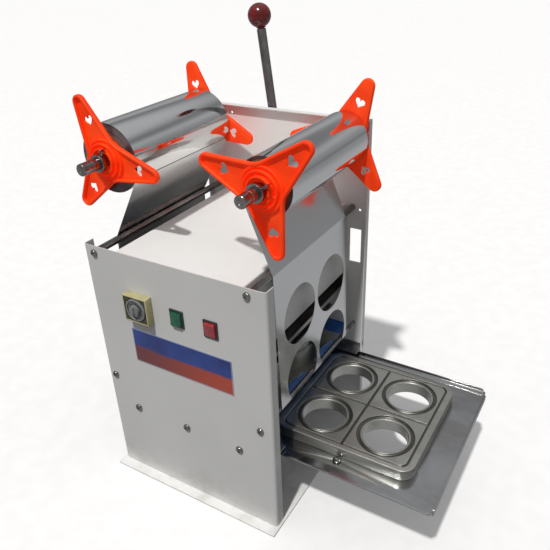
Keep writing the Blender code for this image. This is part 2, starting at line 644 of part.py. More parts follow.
def involute_gear(teeth, module):
    """Outline of a spur gear with involute flanks and a space centred on angle zero."""
    pitch_radius = module * teeth / 2
    base_radius = pitch_radius * math.cos(PRESSURE_ANGLE)
    tip_radius = pitch_radius + ADDENDUM * module
    root_radius = pitch_radius - DEDENDUM * module
    flank_at_pitch = math.tan(PRESSURE_ANGLE) - PRESSURE_ANGLE
    half_tooth = math.pi / (2 * teeth) - BACKLASH / (2 * pitch_radius)
    points = []
    for tooth in range(teeth):
        middle = 2 * math.pi * (tooth + 0.5) / teeth
        flank = []
        for step in range(4):
            radius = base_radius + (tip_radius - base_radius) * step / 3
            turn = math.acos(min(1.0, base_radius / radius))
            angle = half_tooth + flank_at_pitch - (math.tan(turn) - turn)
            flank.append((radius, angle))
        foot = (root_radius, flank[0][1] - 0.01)
        rising = [foot] + flank
        points += [(r * math.cos(middle - a), r * math.sin(middle - a)) for r, a in rising]
        points += [(r * math.cos(middle + a), r * math.sin(middle + a)) for r, a in reversed(rising)]
    return points


def make_lever():
    """Cross shaft with pinion, its bearings, and the hand lever behind the back plate."""
    start, end = LEVER_SHAFT_Y
    middle = (0.0, (start + end) / 2, LEVER_AXIS_Z)
    cylinder("lever_shaft", middle, LEVER_SHAFT_RADIUS, end - start, "Y", "steel", SHAFT_SIDES)
    running = LEVER_SHAFT_RADIUS + GAP
    bore = circle((0, 0), running, SHAFT_SIDES)
    outline("drive_pinion", [involute_gear(PINION_TEETH, GEAR_MODULE), bore], (0.0, CENTRE_Y, LEVER_AXIS_Z),
            GEAR_WIDTH, PLANE_XZ, "steel")
    base = BRIDGE_Z[1] + GAP - LEVER_AXIS_Z
    arch = [(-0.030, base), (0.030, base), (0.030, base + 0.010), (0.018, base + 0.014)]
    arch += arc((0, 0), 0.018, 0, 180, 12) + [(-0.018, base + 0.014), (-0.030, base + 0.010)]
    outline("shaft_bearing_front", [arch, bore], (0.0, -0.040, LEVER_AXIS_Z), 0.016, PLANE_XZ, "steel")
    profile = [(0.014, -0.018), (0.014, -0.006), (0.026, -0.006), (0.026, 0.0), (running, 0.0), (running, -0.018)]
    turned("shaft_bearing_rear", [(r, -h) for r, h in profile], (0.0, BACK_FRONT - GAP, LEVER_AXIS_Z), "Y",
           "steel", SHAFT_SIDES, flip=True)
    make_lever_arm()


def make_lever_arm():
    pivot = Vector((0.0, LEVER_Y, LEVER_AXIS_Z))
    ball = Vector((BALL[0], LEVER_Y, BALL[1]))
    direction = (ball - pivot).normalized()
    lean = Vector((0, 0, 1)).rotation_difference(direction).to_matrix().to_4x4()
    length = (ball - pivot).length
    hub_radius, hub_width = LEVER_HUB
    loops = [circle((0, 0), hub_radius, 24), circle((0, 0), LEVER_SHAFT_RADIUS + GAP, SHAFT_SIDES)]
    hub = outline("lever_arm", loops, pivot, hub_width, PLANE_XZ, "chrome")
    ball_low, foot = length - BALL_RADIUS, 0.0125
    profile = [(0.0, length + 0.006), (LEVER_STUD_RADIUS, length + 0.006), (LEVER_STUD_RADIUS, ball_low - GAP),
               (LEVER_ROD_RADIUS, ball_low - 0.002), (LEVER_ROD_RADIUS, foot), (0.0, foot)]
    arm = turned("join_lever_rod", profile, (0, 0, 0), sides=24)
    arm.matrix_world = Matrix.Translation(pivot) @ lean
    boolean(hub, [arm], "UNION")
    bm = bmesh.new()
    bmesh.ops.create_uvsphere(bm, u_segments=20, v_segments=12, radius=BALL_RADIUS)
    mesh = bpy.data.meshes.new("lever_ball")
    bm.to_mesh(mesh)
    bm.free()
    smooth(mesh)
    knob = add("lever_ball", mesh, "red_ball", Matrix.Translation(ball) @ lean)
    thread = LEVER_STUD_RADIUS + GAP
    bore = turned("cut_ball_bore", [(0.0, 0.0065), (thread, 0.0065), (thread, -0.025), (0.0, -0.025)], (0, 0, 0),
                  sides=20)
    bore.matrix_world = Matrix.Translation(ball) @ lean
    boolean(knob, [bore])


# ---------------------------------------------------------------------------
# Film rolls
# ---------------------------------------------------------------------------
def star_loop(inset=0.0):
    """Outline of the three-armed star: rounded tips with straight sides that touch the hub circle."""
    tip_round, hub = STAR_TIP_ROUND - inset, STAR_HUB - inset
    reach = STAR_TIP - STAR_TIP_ROUND
    half = math.degrees(math.acos((hub - tip_round) / reach))
    valley = hub / math.cos(math.radians(half - 60))
    points = []
    for middle in (0, 120, 240):
        centre = (reach * math.cos(math.radians(middle)), reach * math.sin(math.radians(middle)))
        points += arc(centre, tip_round, middle - half, middle + half, 5)
        notch = math.radians(middle + 60)
        points.append((valley * math.cos(notch), valley * math.sin(notch)))
    return points


def heart_loop(distance, size, angle):
    """Heart-shaped opening on an arm, its point towards the hub."""
    loop = []
    for step in range(10):
        t = 2 * math.pi * step / 10
        across = size * math.sin(t) ** 3
        along = size * (0.81 * math.cos(t) - 0.31 * math.cos(2 * t) - 0.12 * math.cos(3 * t) - 0.06 * math.cos(4 * t))
        u, v = distance + along, across
        a = math.radians(angle)
        loop.append((u * math.cos(a) - v * math.sin(a), u * math.sin(a) + v * math.cos(a)))
    return loop


def make_star(name, roll, face_y, outward, angle):
    """Star hub that grips the end of the core: ribbed on its outer face, plain on its inner face."""
    x = ROLL_X[roll]
    facing = Matrix.Rotation(0.0 if outward < 0 else math.pi, 4, "Z")
    turn = Matrix.Rotation(math.radians(angle if outward < 0 else 180 - angle), 4, "Z")
    place = Matrix.Translation((x, face_y, ROLL_Z)) @ facing @ PLANE_XZ @ turn
    sheet, rib = STAR_SHEET, STAR_RIB
    hearts = [heart_loop(HEART_DISTANCE, HEART_SIZE, 120 * arm) for arm in range(3)]
    star = outline(name, [star_loop()] + hearts + [circle((0, 0), 0.02, 24)], (0, 0, 0), sheet, Matrix.Identity(4),
                   "orange_plastic")
    star.matrix_world = place @ Matrix.Translation((0, 0, sheet / 2))
    rim = outline(f"join_rim_{name}", [star_loop(0.0004), star_loop(0.004)], (0, 0, 0), rib, Matrix.Identity(4))
    rim.matrix_world = place @ Matrix.Translation((0, 0, 0.001 + rib / 2))
    plug = CORE_RADIUS[0] - GAP
    bore = ROLL_SHAFT_RADIUS + GAP
    hub = [(0.0280, 0.0110), (0.0280, sheet * 0.5), (plug, sheet * 0.5), (plug, -0.014), (bore, -0.014),
           (bore, 0.0065), (0.0180, 0.0065), (0.0180, 0.0140), (0.0205, 0.0140), (0.0205, 0.0045),
           (0.0250, 0.0045), (0.0250, 0.0110)]
    core = turned(f"join_hub_{name}", hub, (0, 0, 0), sides=24)
    core.matrix_world = place
    boolean(star, [rim, core], "UNION")


def make_roll_shaft(name, roll):
    """Roll shaft: a collar in front of the front star clamps it with a small wing screw."""
    x = ROLL_X[roll]
    front, rear = PANEL_FRONT - 0.002, BACK_FRONT - 0.006
    first, last = COLLAR_Y
    profile = [(0.0, front), (ROLL_SHAFT_RADIUS - 0.0008, front), (ROLL_SHAFT_RADIUS, front + 0.001),
               (ROLL_SHAFT_RADIUS, first), (COLLAR_RADIUS - 0.0006, first), (COLLAR_RADIUS, first + 0.0008),
               (COLLAR_RADIUS, last), (ROLL_SHAFT_RADIUS, last), (ROLL_SHAFT_RADIUS, rear), (0.0, rear)]
    shaft = turned(name, [(r, -h) for r, h in profile], (x, 0.0, ROLL_Z), "Y", "chrome", SHAFT_SIDES, flip=True)
    turn = math.radians(WING_ANGLE[roll])
    place = Matrix.Translation((x, (first + last) / 2, ROLL_Z)) @ Matrix.Rotation(-turn, 4, "Y")
    stem = cylinder(f"join_stem_{roll}", (0, 0, 0), 0.0022, 0.012, "X", sides=12)
    stem.matrix_world = place @ Matrix.Translation((0.0165, 0, 0)) @ ALONG["X"]
    wing = box(f"join_wing_{roll}", (-0.003, -0.0055, -0.0010), (0.003, 0.0055, 0.0010))
    wing.matrix_world = place @ Matrix.Translation((0.0235, 0, 0))
    boolean(shaft, [stem, wing], "UNION")


def make_roll(roll):
    x = ROLL_X[roll]
    length = FILM_Y[1] - FILM_Y[0]
    middle = (FILM_Y[0] + FILM_Y[1]) / 2
    half = length / 2
    make_roll_shaft(f"{roll}_shaft", roll)
    inner, outer = CORE_RADIUS
    tube = [(outer, half - GAP), (outer, -half + GAP), (inner, -half + GAP), (inner, half - GAP)]
    turned(f"{roll}_core", tube, (x, middle, ROLL_Z), "Y", "cardboard", SHAFT_SIDES)
    wound = [(ROLL_RADIUS[roll], half), (ROLL_RADIUS[roll], -half), (outer + GAP, -half), (outer + GAP, half)]
    turned(f"{roll}_film_roll", wound, (x, middle, ROLL_Z), "Y", "mirror_film", 48)
    make_star(f"{roll}_star_front", roll, FILM_Y[0] - STAR_STANDOFF, -1, STAR_ANGLES[roll][0])
    make_star(f"{roll}_star_rear", roll, FILM_Y[1] + STAR_STANDOFF, 1, STAR_ANGLES[roll][1])
    running, long = ROLL_SHAFT_RADIUS + GAP, 0.0285
    bearing = [(0.014, 0.0), (0.014, 0.020), (0.019, 0.020), (0.019, long), (running, long), (running, 0.0)]
    turned(f"{roll}_bearing", [(r, -h) for r, h in bearing], (x, BACK_FRONT - GAP - long, ROLL_Z), "Y", "steel",
           SHAFT_SIDES, flip=True)


# ---------------------------------------------------------------------------
# Film web
# ---------------------------------------------------------------------------
def tangent(first, second):
    """Ends of the line that leaves one circle and meets the next. Each is (centre, signed radius): positive
    when the circle lies to the left of the direction of travel."""
    (c1, h1), (c2, h2) = first, second
    span = Vector(c2) - Vector(c1)
    heading = math.atan2(span.y, span.x) - math.asin((h2 - h1) / span.length)
    left = Vector((-math.sin(heading), math.cos(heading)))
    return Vector(c1) - h1 * left, Vector(c2) - h2 * left


def film_path():
    """Centre line of the web in (x, z): supply roll, down the left rods, across, up the right rods, take-up roll."""
    clear = GAP + FILM_THICK / 2
    stops = [((ROLL_X["supply"], ROLL_Z), -(ROLL_RADIUS["supply"] + 0.0006))]
    stops += [(RODS[name], ROD_RADIUS[name] + clear) for name in ("top_left", "low_left", "low_right", "top_right")]
    stops.append(((ROLL_X["takeup"], ROLL_Z), -(ROLL_RADIUS["takeup"] + 0.0006)))
    lines = [tangent(a, b) for a, b in zip(stops, stops[1:])]
    points = [tuple(lines[0][0])]
    for (centre, radius), arriving, leaving in zip(stops[1:-1], lines, lines[1:]):
        start = math.degrees(math.atan2(arriving[1].y - centre[1], arriving[1].x - centre[0]))
        end = math.degrees(math.atan2(leaving[0].y - centre[1], leaving[0].x - centre[0]))
        points += arc(centre, radius, start, start + (end - start) % 360, 5)
    points.append(tuple(lines[-1][1]))
    return points


def make_film_web():
    web = bent_sheet("film_web", film_path(), (-FILM_Y[1], -FILM_Y[0]), FILM_THICK, PLANE_XZ, "mirror_film")
    half = MOULD_PITCH / 2
    turn_x, turn_z = RODS["low_right"]
    cutters = []
    for side in (-1, 1):
        y = CENTRE_Y + side * half
        for row, z in enumerate(FILM_HOLE_Z):
            cutters.append(cylinder(f"cut_web_{row}_{side}", (turn_x, y, z), FILM_HOLE, 0.03, "X", sides=CUP_SIDES))
        wrapped = (turn_x + FILM_HOLE_Z[1] - turn_z, y, turn_z - 0.006)
        cutters.append(cylinder(f"cut_wrap_{side}", wrapped, FILM_HOLE, 0.012, sides=CUP_SIDES))
    for name, (x, y) in cup_places(0.0).items():
        cutters.append(cylinder(f"cut_under_{name}", (x, y, RODS["low_left"][1]), FILM_HOLE, 0.03, sides=CUP_SIDES))
    boolean(web, cutters)


# ---------------------------------------------------------------------------
# Controls
# ---------------------------------------------------------------------------
def make_thermostat():
    """Temperature controller: square face, round recess, and a body behind the panel."""
    x, z = THERMOSTAT
    half = THERMOSTAT_SIZE / 2
    seat = PANEL_FRONT - GAP
    face = seat - THERMOSTAT_DEPTH
    body = box("thermostat_body", (x - half, face, z - half), (x + half, seat, z + half), "olive_plastic")
    rear = box("join_thermostat_rear", (x - THERMOSTAT_REAR, seat - 0.001, z - THERMOSTAT_REAR),
               (x + THERMOSTAT_REAR, seat + 0.050, z + THERMOSTAT_REAR))
    boolean(body, [rear], "UNION")
    recess = cylinder("cut_dial_recess", (x, face, z), 0.0205, 2 * DIAL_SINK, "Y", sides=28)
    spindle = cylinder("cut_dial_spindle", (x, face, z), 0.0036, 0.020, "Y", sides=16)
    boolean(body, [recess, spindle])
    under = face + DIAL_SINK - GAP
    profile = [(0.0, 0.0068), (0.0060, 0.0062), (0.0072, 0.0026), (0.0160, 0.0026), (0.0185, 0.0034),
               (0.0195, 0.0022), (0.0195, 0.0), (0.0030, 0.0), (0.0030, -0.006), (0.0, -0.006)]
    dial = turned("thermostat_dial", profile, (x, under, z), "Y", "clear_plastic", 28, flip=True)
    grip = box("join_dial_grip", (x - 0.0012, under - 0.0095, z - 0.0075), (x + 0.0012, under - 0.002, z + 0.0075))
    boolean(dial, [grip], "UNION")


def make_switch(name):
    """Snap-in rocker switch: black bezel and body, with the lens rocker on a pin across it."""
    x, z = SWITCHES[name]
    seat = PANEL_FRONT - GAP
    half_x, half_z = SWITCH_HALF
    bezel = box(f"switch_bezel_{name}", (x - half_x, seat - 0.0020, z - half_z), (x + half_x, seat, z + half_z),
                "black_plastic")
    half_x, half_z = SWITCH_BODY
    rear = box(f"join_switch_{name}", (x - half_x, seat - 0.0010, z - half_z), (x + half_x, seat + 0.026, z + half_z))
    boolean(bezel, [rear], "UNION")
    half_x, half_z = SWITCH_WELL
    floor = ROCKER_AXIS_Y + ROCKER_RADIUS + 0.0005
    boolean(bezel, [box(f"cut_well_{name}", (x - half_x, seat - 0.005, z - half_z), (x + half_x, floor, z + half_z))])
    tip = math.degrees(math.acos(-ROCKER_FLAT / ROCKER_RADIUS))
    loop = [(-ROCKER_DISH, 0.0)] + arc((0, 0), ROCKER_RADIUS, tip, -tip, 12)
    width = 2 * SWITCH_WELL[0] - 0.0008
    lens = outline(f"switch_rocker_{name}", [loop], (0, 0, 0), width, Matrix.Identity(4), f"{name}_lens")
    tilt = Matrix.Rotation(math.radians(ROCKER_TILT[name]), 4, "X")
    lens.matrix_world = Matrix.Translation((x, ROCKER_AXIS_Y, z)) @ tilt @ PLANE_YZ


# ---------------------------------------------------------------------------
# Build
# ---------------------------------------------------------------------------
make_base()
make_front_panel()
make_back_plate()
make_top_cover()
make_label()
make_cable_gland()
make_rods()
make_rails()
make_tray()
make_mould()
make_mould_screw()
make_die_plate()
make_bridge()
make_head()
make_springs()
make_rack()
make_lever()
for roll_name in ROLL_X:
    make_roll(roll_name)
make_film_web()
make_thermostat()
for switch_name in SWITCHES:
    make_switch(switch_name)
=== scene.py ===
"""Looks of the manual cup sealing machine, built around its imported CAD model.

Frame: metres, +Z up, the control panel faces -Y, the drawer pulls out along +X.
"""

import json
import math
import random

import bmesh
import bpy
from mathutils import Matrix, Vector


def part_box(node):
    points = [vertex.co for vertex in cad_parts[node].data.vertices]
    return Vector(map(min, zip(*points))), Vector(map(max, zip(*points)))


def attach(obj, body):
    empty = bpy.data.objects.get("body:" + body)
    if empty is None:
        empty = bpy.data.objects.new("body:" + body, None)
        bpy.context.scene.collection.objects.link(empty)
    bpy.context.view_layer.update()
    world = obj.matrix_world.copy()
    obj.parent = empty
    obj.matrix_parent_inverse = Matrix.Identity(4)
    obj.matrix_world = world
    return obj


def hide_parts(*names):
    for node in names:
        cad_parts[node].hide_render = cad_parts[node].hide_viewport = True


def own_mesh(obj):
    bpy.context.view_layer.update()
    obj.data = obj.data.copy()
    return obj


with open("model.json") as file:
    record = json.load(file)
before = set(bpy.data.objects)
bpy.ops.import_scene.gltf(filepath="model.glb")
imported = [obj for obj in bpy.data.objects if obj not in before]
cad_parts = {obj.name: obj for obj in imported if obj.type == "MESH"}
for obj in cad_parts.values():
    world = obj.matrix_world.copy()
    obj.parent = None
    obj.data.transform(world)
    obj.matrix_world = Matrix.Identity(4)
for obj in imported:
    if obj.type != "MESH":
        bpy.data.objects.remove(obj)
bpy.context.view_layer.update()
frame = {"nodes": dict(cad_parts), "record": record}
NODES = frame["nodes"]
BODY_OF = {node: body for body, nodes in frame["record"]["behaviour"]["bodies"].items() for node in nodes}
SLOT_OF = {part["node"]: part["material_slot"] for part in frame["record"]["subparts"]}

# ---------------------------------------------------------------------------
# Dimensions shared with the CAD (metres)
# ---------------------------------------------------------------------------
GAP = 0.0003
PANEL_FRONT = -0.165
BACK_FRONT = 0.180
CENTRE_Y = 0.021
MOULD_PITCH = 0.110
DRAWER_X = 0.248
TRAY_TOP = 0.143
MOULD_TOP = 0.163
CUP_RADIUS = 0.037
RING_GROOVE = (0.0036, 0.0107)             # inner and outer distance from the cup hole
ROLL_Z = 0.590
ROLL_X = {"supply": -0.141, "takeup": 0.139}
ROLL_RADIUS = {"supply": 0.055, "takeup": 0.043}
CORE_RADIUS = (0.033, 0.038)
ROLL_SHAFT_RADIUS = 0.0095
COLLAR_RADIUS = 0.0138
LEVER_SHAFT_RADIUS = 0.008
STAR_TIP = 0.103
STAR_TIP_ROUND = 0.0115
STAR_HUB = 0.034
STAR_ANGLES = {"supply": (112.5, 103.5), "takeup": (163.0, 66.5)}
HEART_DISTANCE = 0.063
HEART_SIZE = 0.0088
FILM_Y = (-0.107, 0.135)
FILM_THICK = 0.0005
FILM_HOLE = 0.0505
RODS = {"top_left": (-0.1485, 0.453), "top_right": (0.139, 0.453),
        "low_left": (-0.1535, 0.211), "low_right": (0.148, 0.211)}
ROD_RADIUS = {"top_left": 0.006, "top_right": 0.006, "low_left": 0.004, "low_right": 0.004}
RAIL_BOLTS = ((-0.1106, 0.152), (-0.0029, 0.152), (0.1048, 0.152))
POST_X = 0.080
POST_TOP = 0.397
BRIDGE_TOP = 0.292
LEVER_PIVOT = Vector((0.0, 0.200, 0.343))
LEVER_HUB = (0.017, 0.009)                # radius and half width
LEVER_ROD_RADIUS = 0.008
LEVER_STUD_RADIUS = 0.0055
BALL = Vector((-0.052, 0.200, 0.762))
BALL_RADIUS = 0.020
MOULD_HALF = (0.120, 0.116)
MOULD_CORNER = 0.022
GROOVE_DEPTH = 0.0025
TRAY_LOW = 0.140
MOULD_SCREW = (0.250, -0.1035)
MOULD_SCREW_HOLE = 0.0027
FILM_HOLE_Z = (0.353, 0.241)
STAR_STANDOFF = 0.0035                    # from the end of the film to the sheet of a star
WING_ANGLE = {"supply": 62, "takeup": 35}
SHAFT_FRONT = 0.167
SHAFT_COLLAR = (0.1345, 0.1255)
SCREW_SHANK = 0.0022
CASE_HALF = 0.024                         # temperature controller
CASE_DEPTH = 0.0137
BEZEL_HALF = (0.0130, 0.0155)             # rocker switches
SWITCH_BODY = (0.0108, 0.0133)
SWITCH_WELL = (0.0098, 0.0125)
ROCKER_AXIS_Y = -0.166
ROCKER_RADIUS = 0.0121
ROCKER_FACE = (0.0050, 0.0044)            # from the axis out to the edges and the middle of the face
ROCKER_TILT = {"green": -7, "red": 7}
DIE_HALF = 0.1265
DIE_MIDDLE_Z = 0.2025
DIE_SKIRT = 0.168
DIE_HOLE = 0.052
HEAD_RADIUS = 0.046
CUTTER_RADIUS = 0.049
POST_CAP = 0.0045

# Local w of a drawn shape: towards -Y, or towards +X
FACING_FRONT = Matrix(((1, 0, 0, 0), (0, 0, -1, 0), (0, 1, 0, 0), (0, 0, 0, 1)))
FACING_RIGHT = Matrix(((0, 0, 1, 0), (1, 0, 0, 0), (0, 1, 0, 0), (0, 0, 0, 1)))
UPRIGHT = Matrix.Identity(4)


def at(x, y, z):
    return Matrix.Translation((x, y, z))


# ---------------------------------------------------------------------------
# Materials
# ---------------------------------------------------------------------------
class Finish:
    """A Principled material with short calls for the procedural nodes on top of it."""

    def __init__(self, name, colour, roughness, metallic=0.0, **sockets):
        self.material = bpy.data.materials.new(name)
        self.material.use_nodes = True
        self.tree = self.material.node_tree
        self.shader = self.tree.nodes["Principled BSDF"]
        self.colour = (*colour, 1.0)
        self.shader.inputs["Base Color"].default_value = self.colour
        self.shader.inputs["Roughness"].default_value = roughness
        self.shader.inputs["Metallic"].default_value = metallic
        for socket, value in sockets.items():
            self.shader.inputs[socket.replace("_", " ")].default_value = value
        self.place = self.tree.nodes.new("ShaderNodeTexCoord").outputs["Object"]
        self.normal = None

    def put(self, socket, value):
        """Link an output to a node input, or set a constant on it."""
        if isinstance(value, bpy.types.NodeSocket):
            self.tree.links.new(value, socket)
        else:
            socket.default_value = value

    def node(self, kind, **sockets):
        """Add a shader node and give its inputs their links or constants."""
        node = self.tree.nodes.new("ShaderNode" + kind)
        for socket, value in sockets.items():
            self.put(node.inputs[socket.replace("_", " ")], value)
        return node

    def stretched(self, scale, turn=(0.0, 0.0, 0.0)):
        return self.node("Mapping", Vector=self.place, Rotation=turn, Scale=scale).outputs["Vector"]

    def noise(self, scale, detail=3.0, roughness=0.5, where=None, distortion=0.0):
        node = self.node("TexNoise", Vector=where or self.place, Scale=scale, Detail=detail,
                         Roughness=roughness, Distortion=distortion)
        return node.outputs["Fac"]

    def axis(self, name, where=None):
        return self.node("SeparateXYZ", Vector=where or self.place).outputs[name]

    def span(self, value, low, high, start=0.0, end=1.0):
        """Map low..high to start..end with soft ends."""
        node = self.node("MapRange", Value=value, From_Min=low, From_Max=high, To_Min=start, To_Max=end)
        node.interpolation_type = "SMOOTHSTEP"
        return node.outputs["Result"]

    def math(self, operation, first, second=0.0):
        node = self.node("Math")
        node.operation = operation
        self.put(node.inputs[0], first)
        self.put(node.inputs[1], second)
        return node.outputs[0]

    def blend(self, amount, first, second):
        node = self.node("Mix", Factor=amount)
        node.data_type = "RGBA"
        self.put(node.inputs[6], first if isinstance(first, bpy.types.NodeSocket) else (*first[:3], 1.0))
        self.put(node.inputs[7], second if isinstance(second, bpy.types.NodeSocket) else (*second[:3], 1.0))
        return node.outputs[2]

    def edges(self, radius, low=0.002, high=0.08):
        """1 on outer and inner edges narrower than radius, 0 on flat faces."""
        rounded = self.node("Bevel", Radius=radius)
        rounded.samples = 4
        geometry = self.node("NewGeometry")
        dot = self.node("VectorMath")
        dot.operation = "DOT_PRODUCT"
        self.put(dot.inputs[0], rounded.outputs["Normal"])
        self.put(dot.inputs[1], geometry.outputs["True Normal"])
        return self.span(self.math("SUBTRACT", 1.0, dot.outputs["Value"]), low, high)

    def soften(self, radius):
        """Round the look of hard edges."""
        node = self.node("Bevel", Radius=radius)
        node.samples = 4
        self.normal = node.outputs["Normal"]

    def bump(self, height, strength, distance):
        node = self.node("Bump", Strength=strength, Distance=distance, Height=height)
        if self.normal is not None:
            self.put(node.inputs["Normal"], self.normal)
        self.normal = node.outputs["Normal"]

    def finish(self, colour=None, roughness=None):
        if colour is not None:
            self.put(self.shader.inputs["Base Color"], colour)
        if roughness is not None:
            self.put(self.shader.inputs["Roughness"], roughness)
        if self.normal is not None:
            self.put(self.shader.inputs["Normal"], self.normal)
        return self.material


def white_paint(name="powder_coat_white", shade=1.0):
    # A shade below 1 darkens both paint colours and gives a shaded copy of the white powder coat.
    light, dark = (tuple(c * shade for c in colour) for colour in ((0.815, 0.815, 0.80), (0.765, 0.765, 0.75)))
    f = Finish(name, light, 0.38)
    tone = f.blend(f.span(f.noise(5.0, 4.0), 0.35, 0.7), light, dark)
    grime = f.math("MULTIPLY", f.span(f.axis("Z"), 0.10, 0.0), f.span(f.noise(22.0, 6.0, 0.65), 0.42, 0.72))
    tone = f.blend(f.math("MULTIPLY", grime, 0.35), tone, (0.36, 0.34, 0.31))
    scuffs = f.span(f.noise(9.0, 5.0, 0.7, f.stretched((2.0, 2.0, 26.0), (0.3, 0.2, 0.5))), 0.66, 0.74)
    tone = f.blend(f.math("MULTIPLY", scuffs, 0.18), tone, (0.52, 0.51, 0.49))
    chips = f.math("MULTIPLY", f.edges(0.0010), f.span(f.noise(130.0, 4.0, 0.6), 0.50, 0.62))
    tone = f.blend(f.math("MULTIPLY", chips, 0.6), tone, (0.30, 0.30, 0.30))
    f.soften(0.0008)
    f.bump(f.noise(1100.0, 2.0), 0.06, 0.0004)
    f.bump(f.noise(14.0, 2.0), 0.04, 0.004)
    return f.finish(tone, f.span(f.noise(60.0, 4.0), 0.3, 0.7, 0.34, 0.46))


def blue_paint():
    f = Finish("enamel_blue", (0.0, 0.10, 0.42), 0.30, Coat_Weight=0.25)
    tone = f.blend(f.span(f.noise(18.0, 4.0), 0.35, 0.7), (0.0, 0.115, 0.46), (0.0, 0.08, 0.33))
    chips = f.math("MULTIPLY", f.edges(0.0012), f.span(f.noise(160.0, 4.0), 0.45, 0.6))
    tone = f.blend(chips, tone, (0.35, 0.36, 0.38))
    f.soften(0.0008)
    f.bump(f.noise(700.0, 2.0), 0.08, 0.0005)
    return f.finish(tone, f.span(f.noise(80.0, 3.0), 0.3, 0.7, 0.24, 0.4))


def brushed(name, light, dark, scale, roughness, bump, edge=0.0008):
    """Metal with fine straight lines across the stretched direction."""
    f = Finish(name, light, roughness, 1.0)
    lines = f.noise(scale, 3.0, 0.6, f.stretched((0.015, 1.0, 1.0)))
    cloud = f.noise(16.0, 4.0, 0.55)
    tone = f.blend(f.span(cloud, 0.3, 0.7), light, dark)
    tone = f.blend(f.math("MULTIPLY", f.span(lines, 0.35, 0.65), 0.35), tone, dark)
    tone = f.blend(f.math("MULTIPLY", f.edges(edge), 0.5), tone, tuple(min(1.0, c * 1.5) for c in light))
    f.soften(edge)
    f.bump(lines, bump, 0.0003)
    rough = f.math("ADD", f.span(lines, 0.3, 0.7, roughness - 0.05, roughness + 0.06),
                   f.span(f.noise(35.0, 5.0, 0.6), 0.45, 0.7, 0.0, 0.14))
    return f.finish(tone, rough)


def steel():
    return brushed("bare_steel", (0.46, 0.46, 0.45), (0.30, 0.30, 0.29), 900.0, 0.34, 0.10)


def zinc_sheet():
    f = Finish("polished_sheet", (0.40, 0.41, 0.41), 0.16, 1.0)
    lines = f.noise(1500.0, 3.0, 0.6, f.stretched((0.010, 1.0, 1.0)))
    smears = f.noise(9.0, 5.0, 0.6, f.stretched((1.0, 1.8, 1.0)))
    tone = f.blend(f.span(smears, 0.35, 0.7), (0.42, 0.43, 0.43), (0.33, 0.33, 0.33))
    scratches = f.span(f.noise(120.0, 6.0, 0.75, f.stretched((0.12, 1.6, 1.0), (0.0, 0.0, 0.35))), 0.68, 0.72)
    tone = f.blend(f.math("MULTIPLY", scratches, 0.3), tone, (0.62, 0.62, 0.62))
    f.soften(0.0006)
    f.bump(lines, 0.05, 0.0002)
    f.bump(f.noise(7.0, 2.0), 0.10, 0.004)
    rough = f.math("ADD", f.span(smears, 0.4, 0.75, 0.14, 0.27), f.math("MULTIPLY", scratches, 0.2))
    return f.finish(tone, rough)


def chrome():
    f = Finish("plated_steel", (0.31, 0.30, 0.295), 0.16, 1.0)
    spots = f.span(f.noise(220.0, 5.0, 0.7), 0.60, 0.70)
    cloud = f.noise(40.0, 4.0)
    tone = f.blend(f.span(cloud, 0.3, 0.7), (0.32, 0.315, 0.305), (0.20, 0.19, 0.185))
    tone = f.blend(f.math("MULTIPLY", spots, 0.6), tone, (0.10, 0.075, 0.06))
    f.soften(0.0004)
    f.bump(f.noise(1400.0, 2.0), 0.03, 0.0002)
    rough = f.math("ADD", f.span(cloud, 0.3, 0.7, 0.12, 0.24), f.math("MULTIPLY", spots, 0.3))
    return f.finish(tone, rough)


def aluminium():
    """Milled face, with a painted highlight along its top edges and painted shade in its grooves."""
    f = Finish("milled_aluminium", (0.50, 0.50, 0.47), 0.36, 1.0)
    rings = f.node("TexWave", Vector=f.stretched((1.0, 1.0, 0.0)), Scale=240.0, Distortion=1.2, Detail=2.0)
    rings.wave_type = "RINGS"
    rings.rings_direction = "Z"
    cloud = f.noise(18.0, 5.0, 0.6)
    tone = f.blend(f.span(cloud, 0.3, 0.7), (0.54, 0.54, 0.505), (0.40, 0.40, 0.37))
    stains = f.span(f.noise(60.0, 5.0, 0.7), 0.58, 0.72)
    tone = f.blend(f.math("MULTIPLY", stains, 0.35), tone, (0.20, 0.19, 0.17))
    facing = f.node("NewGeometry").outputs["True Normal"]
    # Painted shade: up-facing groove floors, below the top face and above the tray, are painted near black for
    # the shade in them.
    groove = f.math("MULTIPLY", f.span(f.axis("Z"), MOULD_TOP - 0.0016, MOULD_TOP - 0.0006, 1.0, 0.0),
                    f.span(f.axis("Z", facing), 0.5, 0.9))
    groove = f.math("MULTIPLY", groove, f.span(f.axis("Z"), TRAY_TOP + 0.004, TRAY_TOP + 0.008))
    tone = f.blend(f.math("MULTIPLY", groove, 0.85), tone, (0.085, 0.082, 0.070))
    # Painted highlight: the mould's top edges are painted near white.
    painted_rim_highlight = f.math("MULTIPLY", f.edges(0.0009), f.span(f.axis("Z"), MOULD_TOP - 0.0008, MOULD_TOP - 0.0002))
    tone = f.blend(f.math("MULTIPLY", painted_rim_highlight, 0.8), tone, (0.92, 0.92, 0.89))
    f.soften(0.0006)
    f.bump(rings.outputs["Fac"], 0.05, 0.0002)
    f.bump(f.noise(900.0, 3.0, 0.6), 0.08, 0.0002)
    rough = f.math("ADD", f.span(cloud, 0.3, 0.7, 0.30, 0.42), f.math("MULTIPLY", stains, 0.12))
    return f.finish(tone, rough)


def mirror_film(name="metallised_film", haze=0.0):
    f = Finish(name, (0.74, 0.75, 0.76), 0.06, 1.0)
    waves = f.noise(6.0, 2.0, 0.5, f.stretched((1.0, 0.35, 1.0)))
    creases = f.noise(26.0, 3.0, 0.55, f.stretched((1.0, 0.30, 1.0)), 0.6)
    tone = f.blend(f.span(waves, 0.3, 0.7), (0.76, 0.77, 0.77), (0.66, 0.67, 0.67))
    f.bump(waves, 0.10, 0.006)
    f.bump(creases, 0.05, 0.0016)
    return f.finish(tone, f.span(creases, 0.35, 0.75, 0.045 + haze, 0.11 + haze))


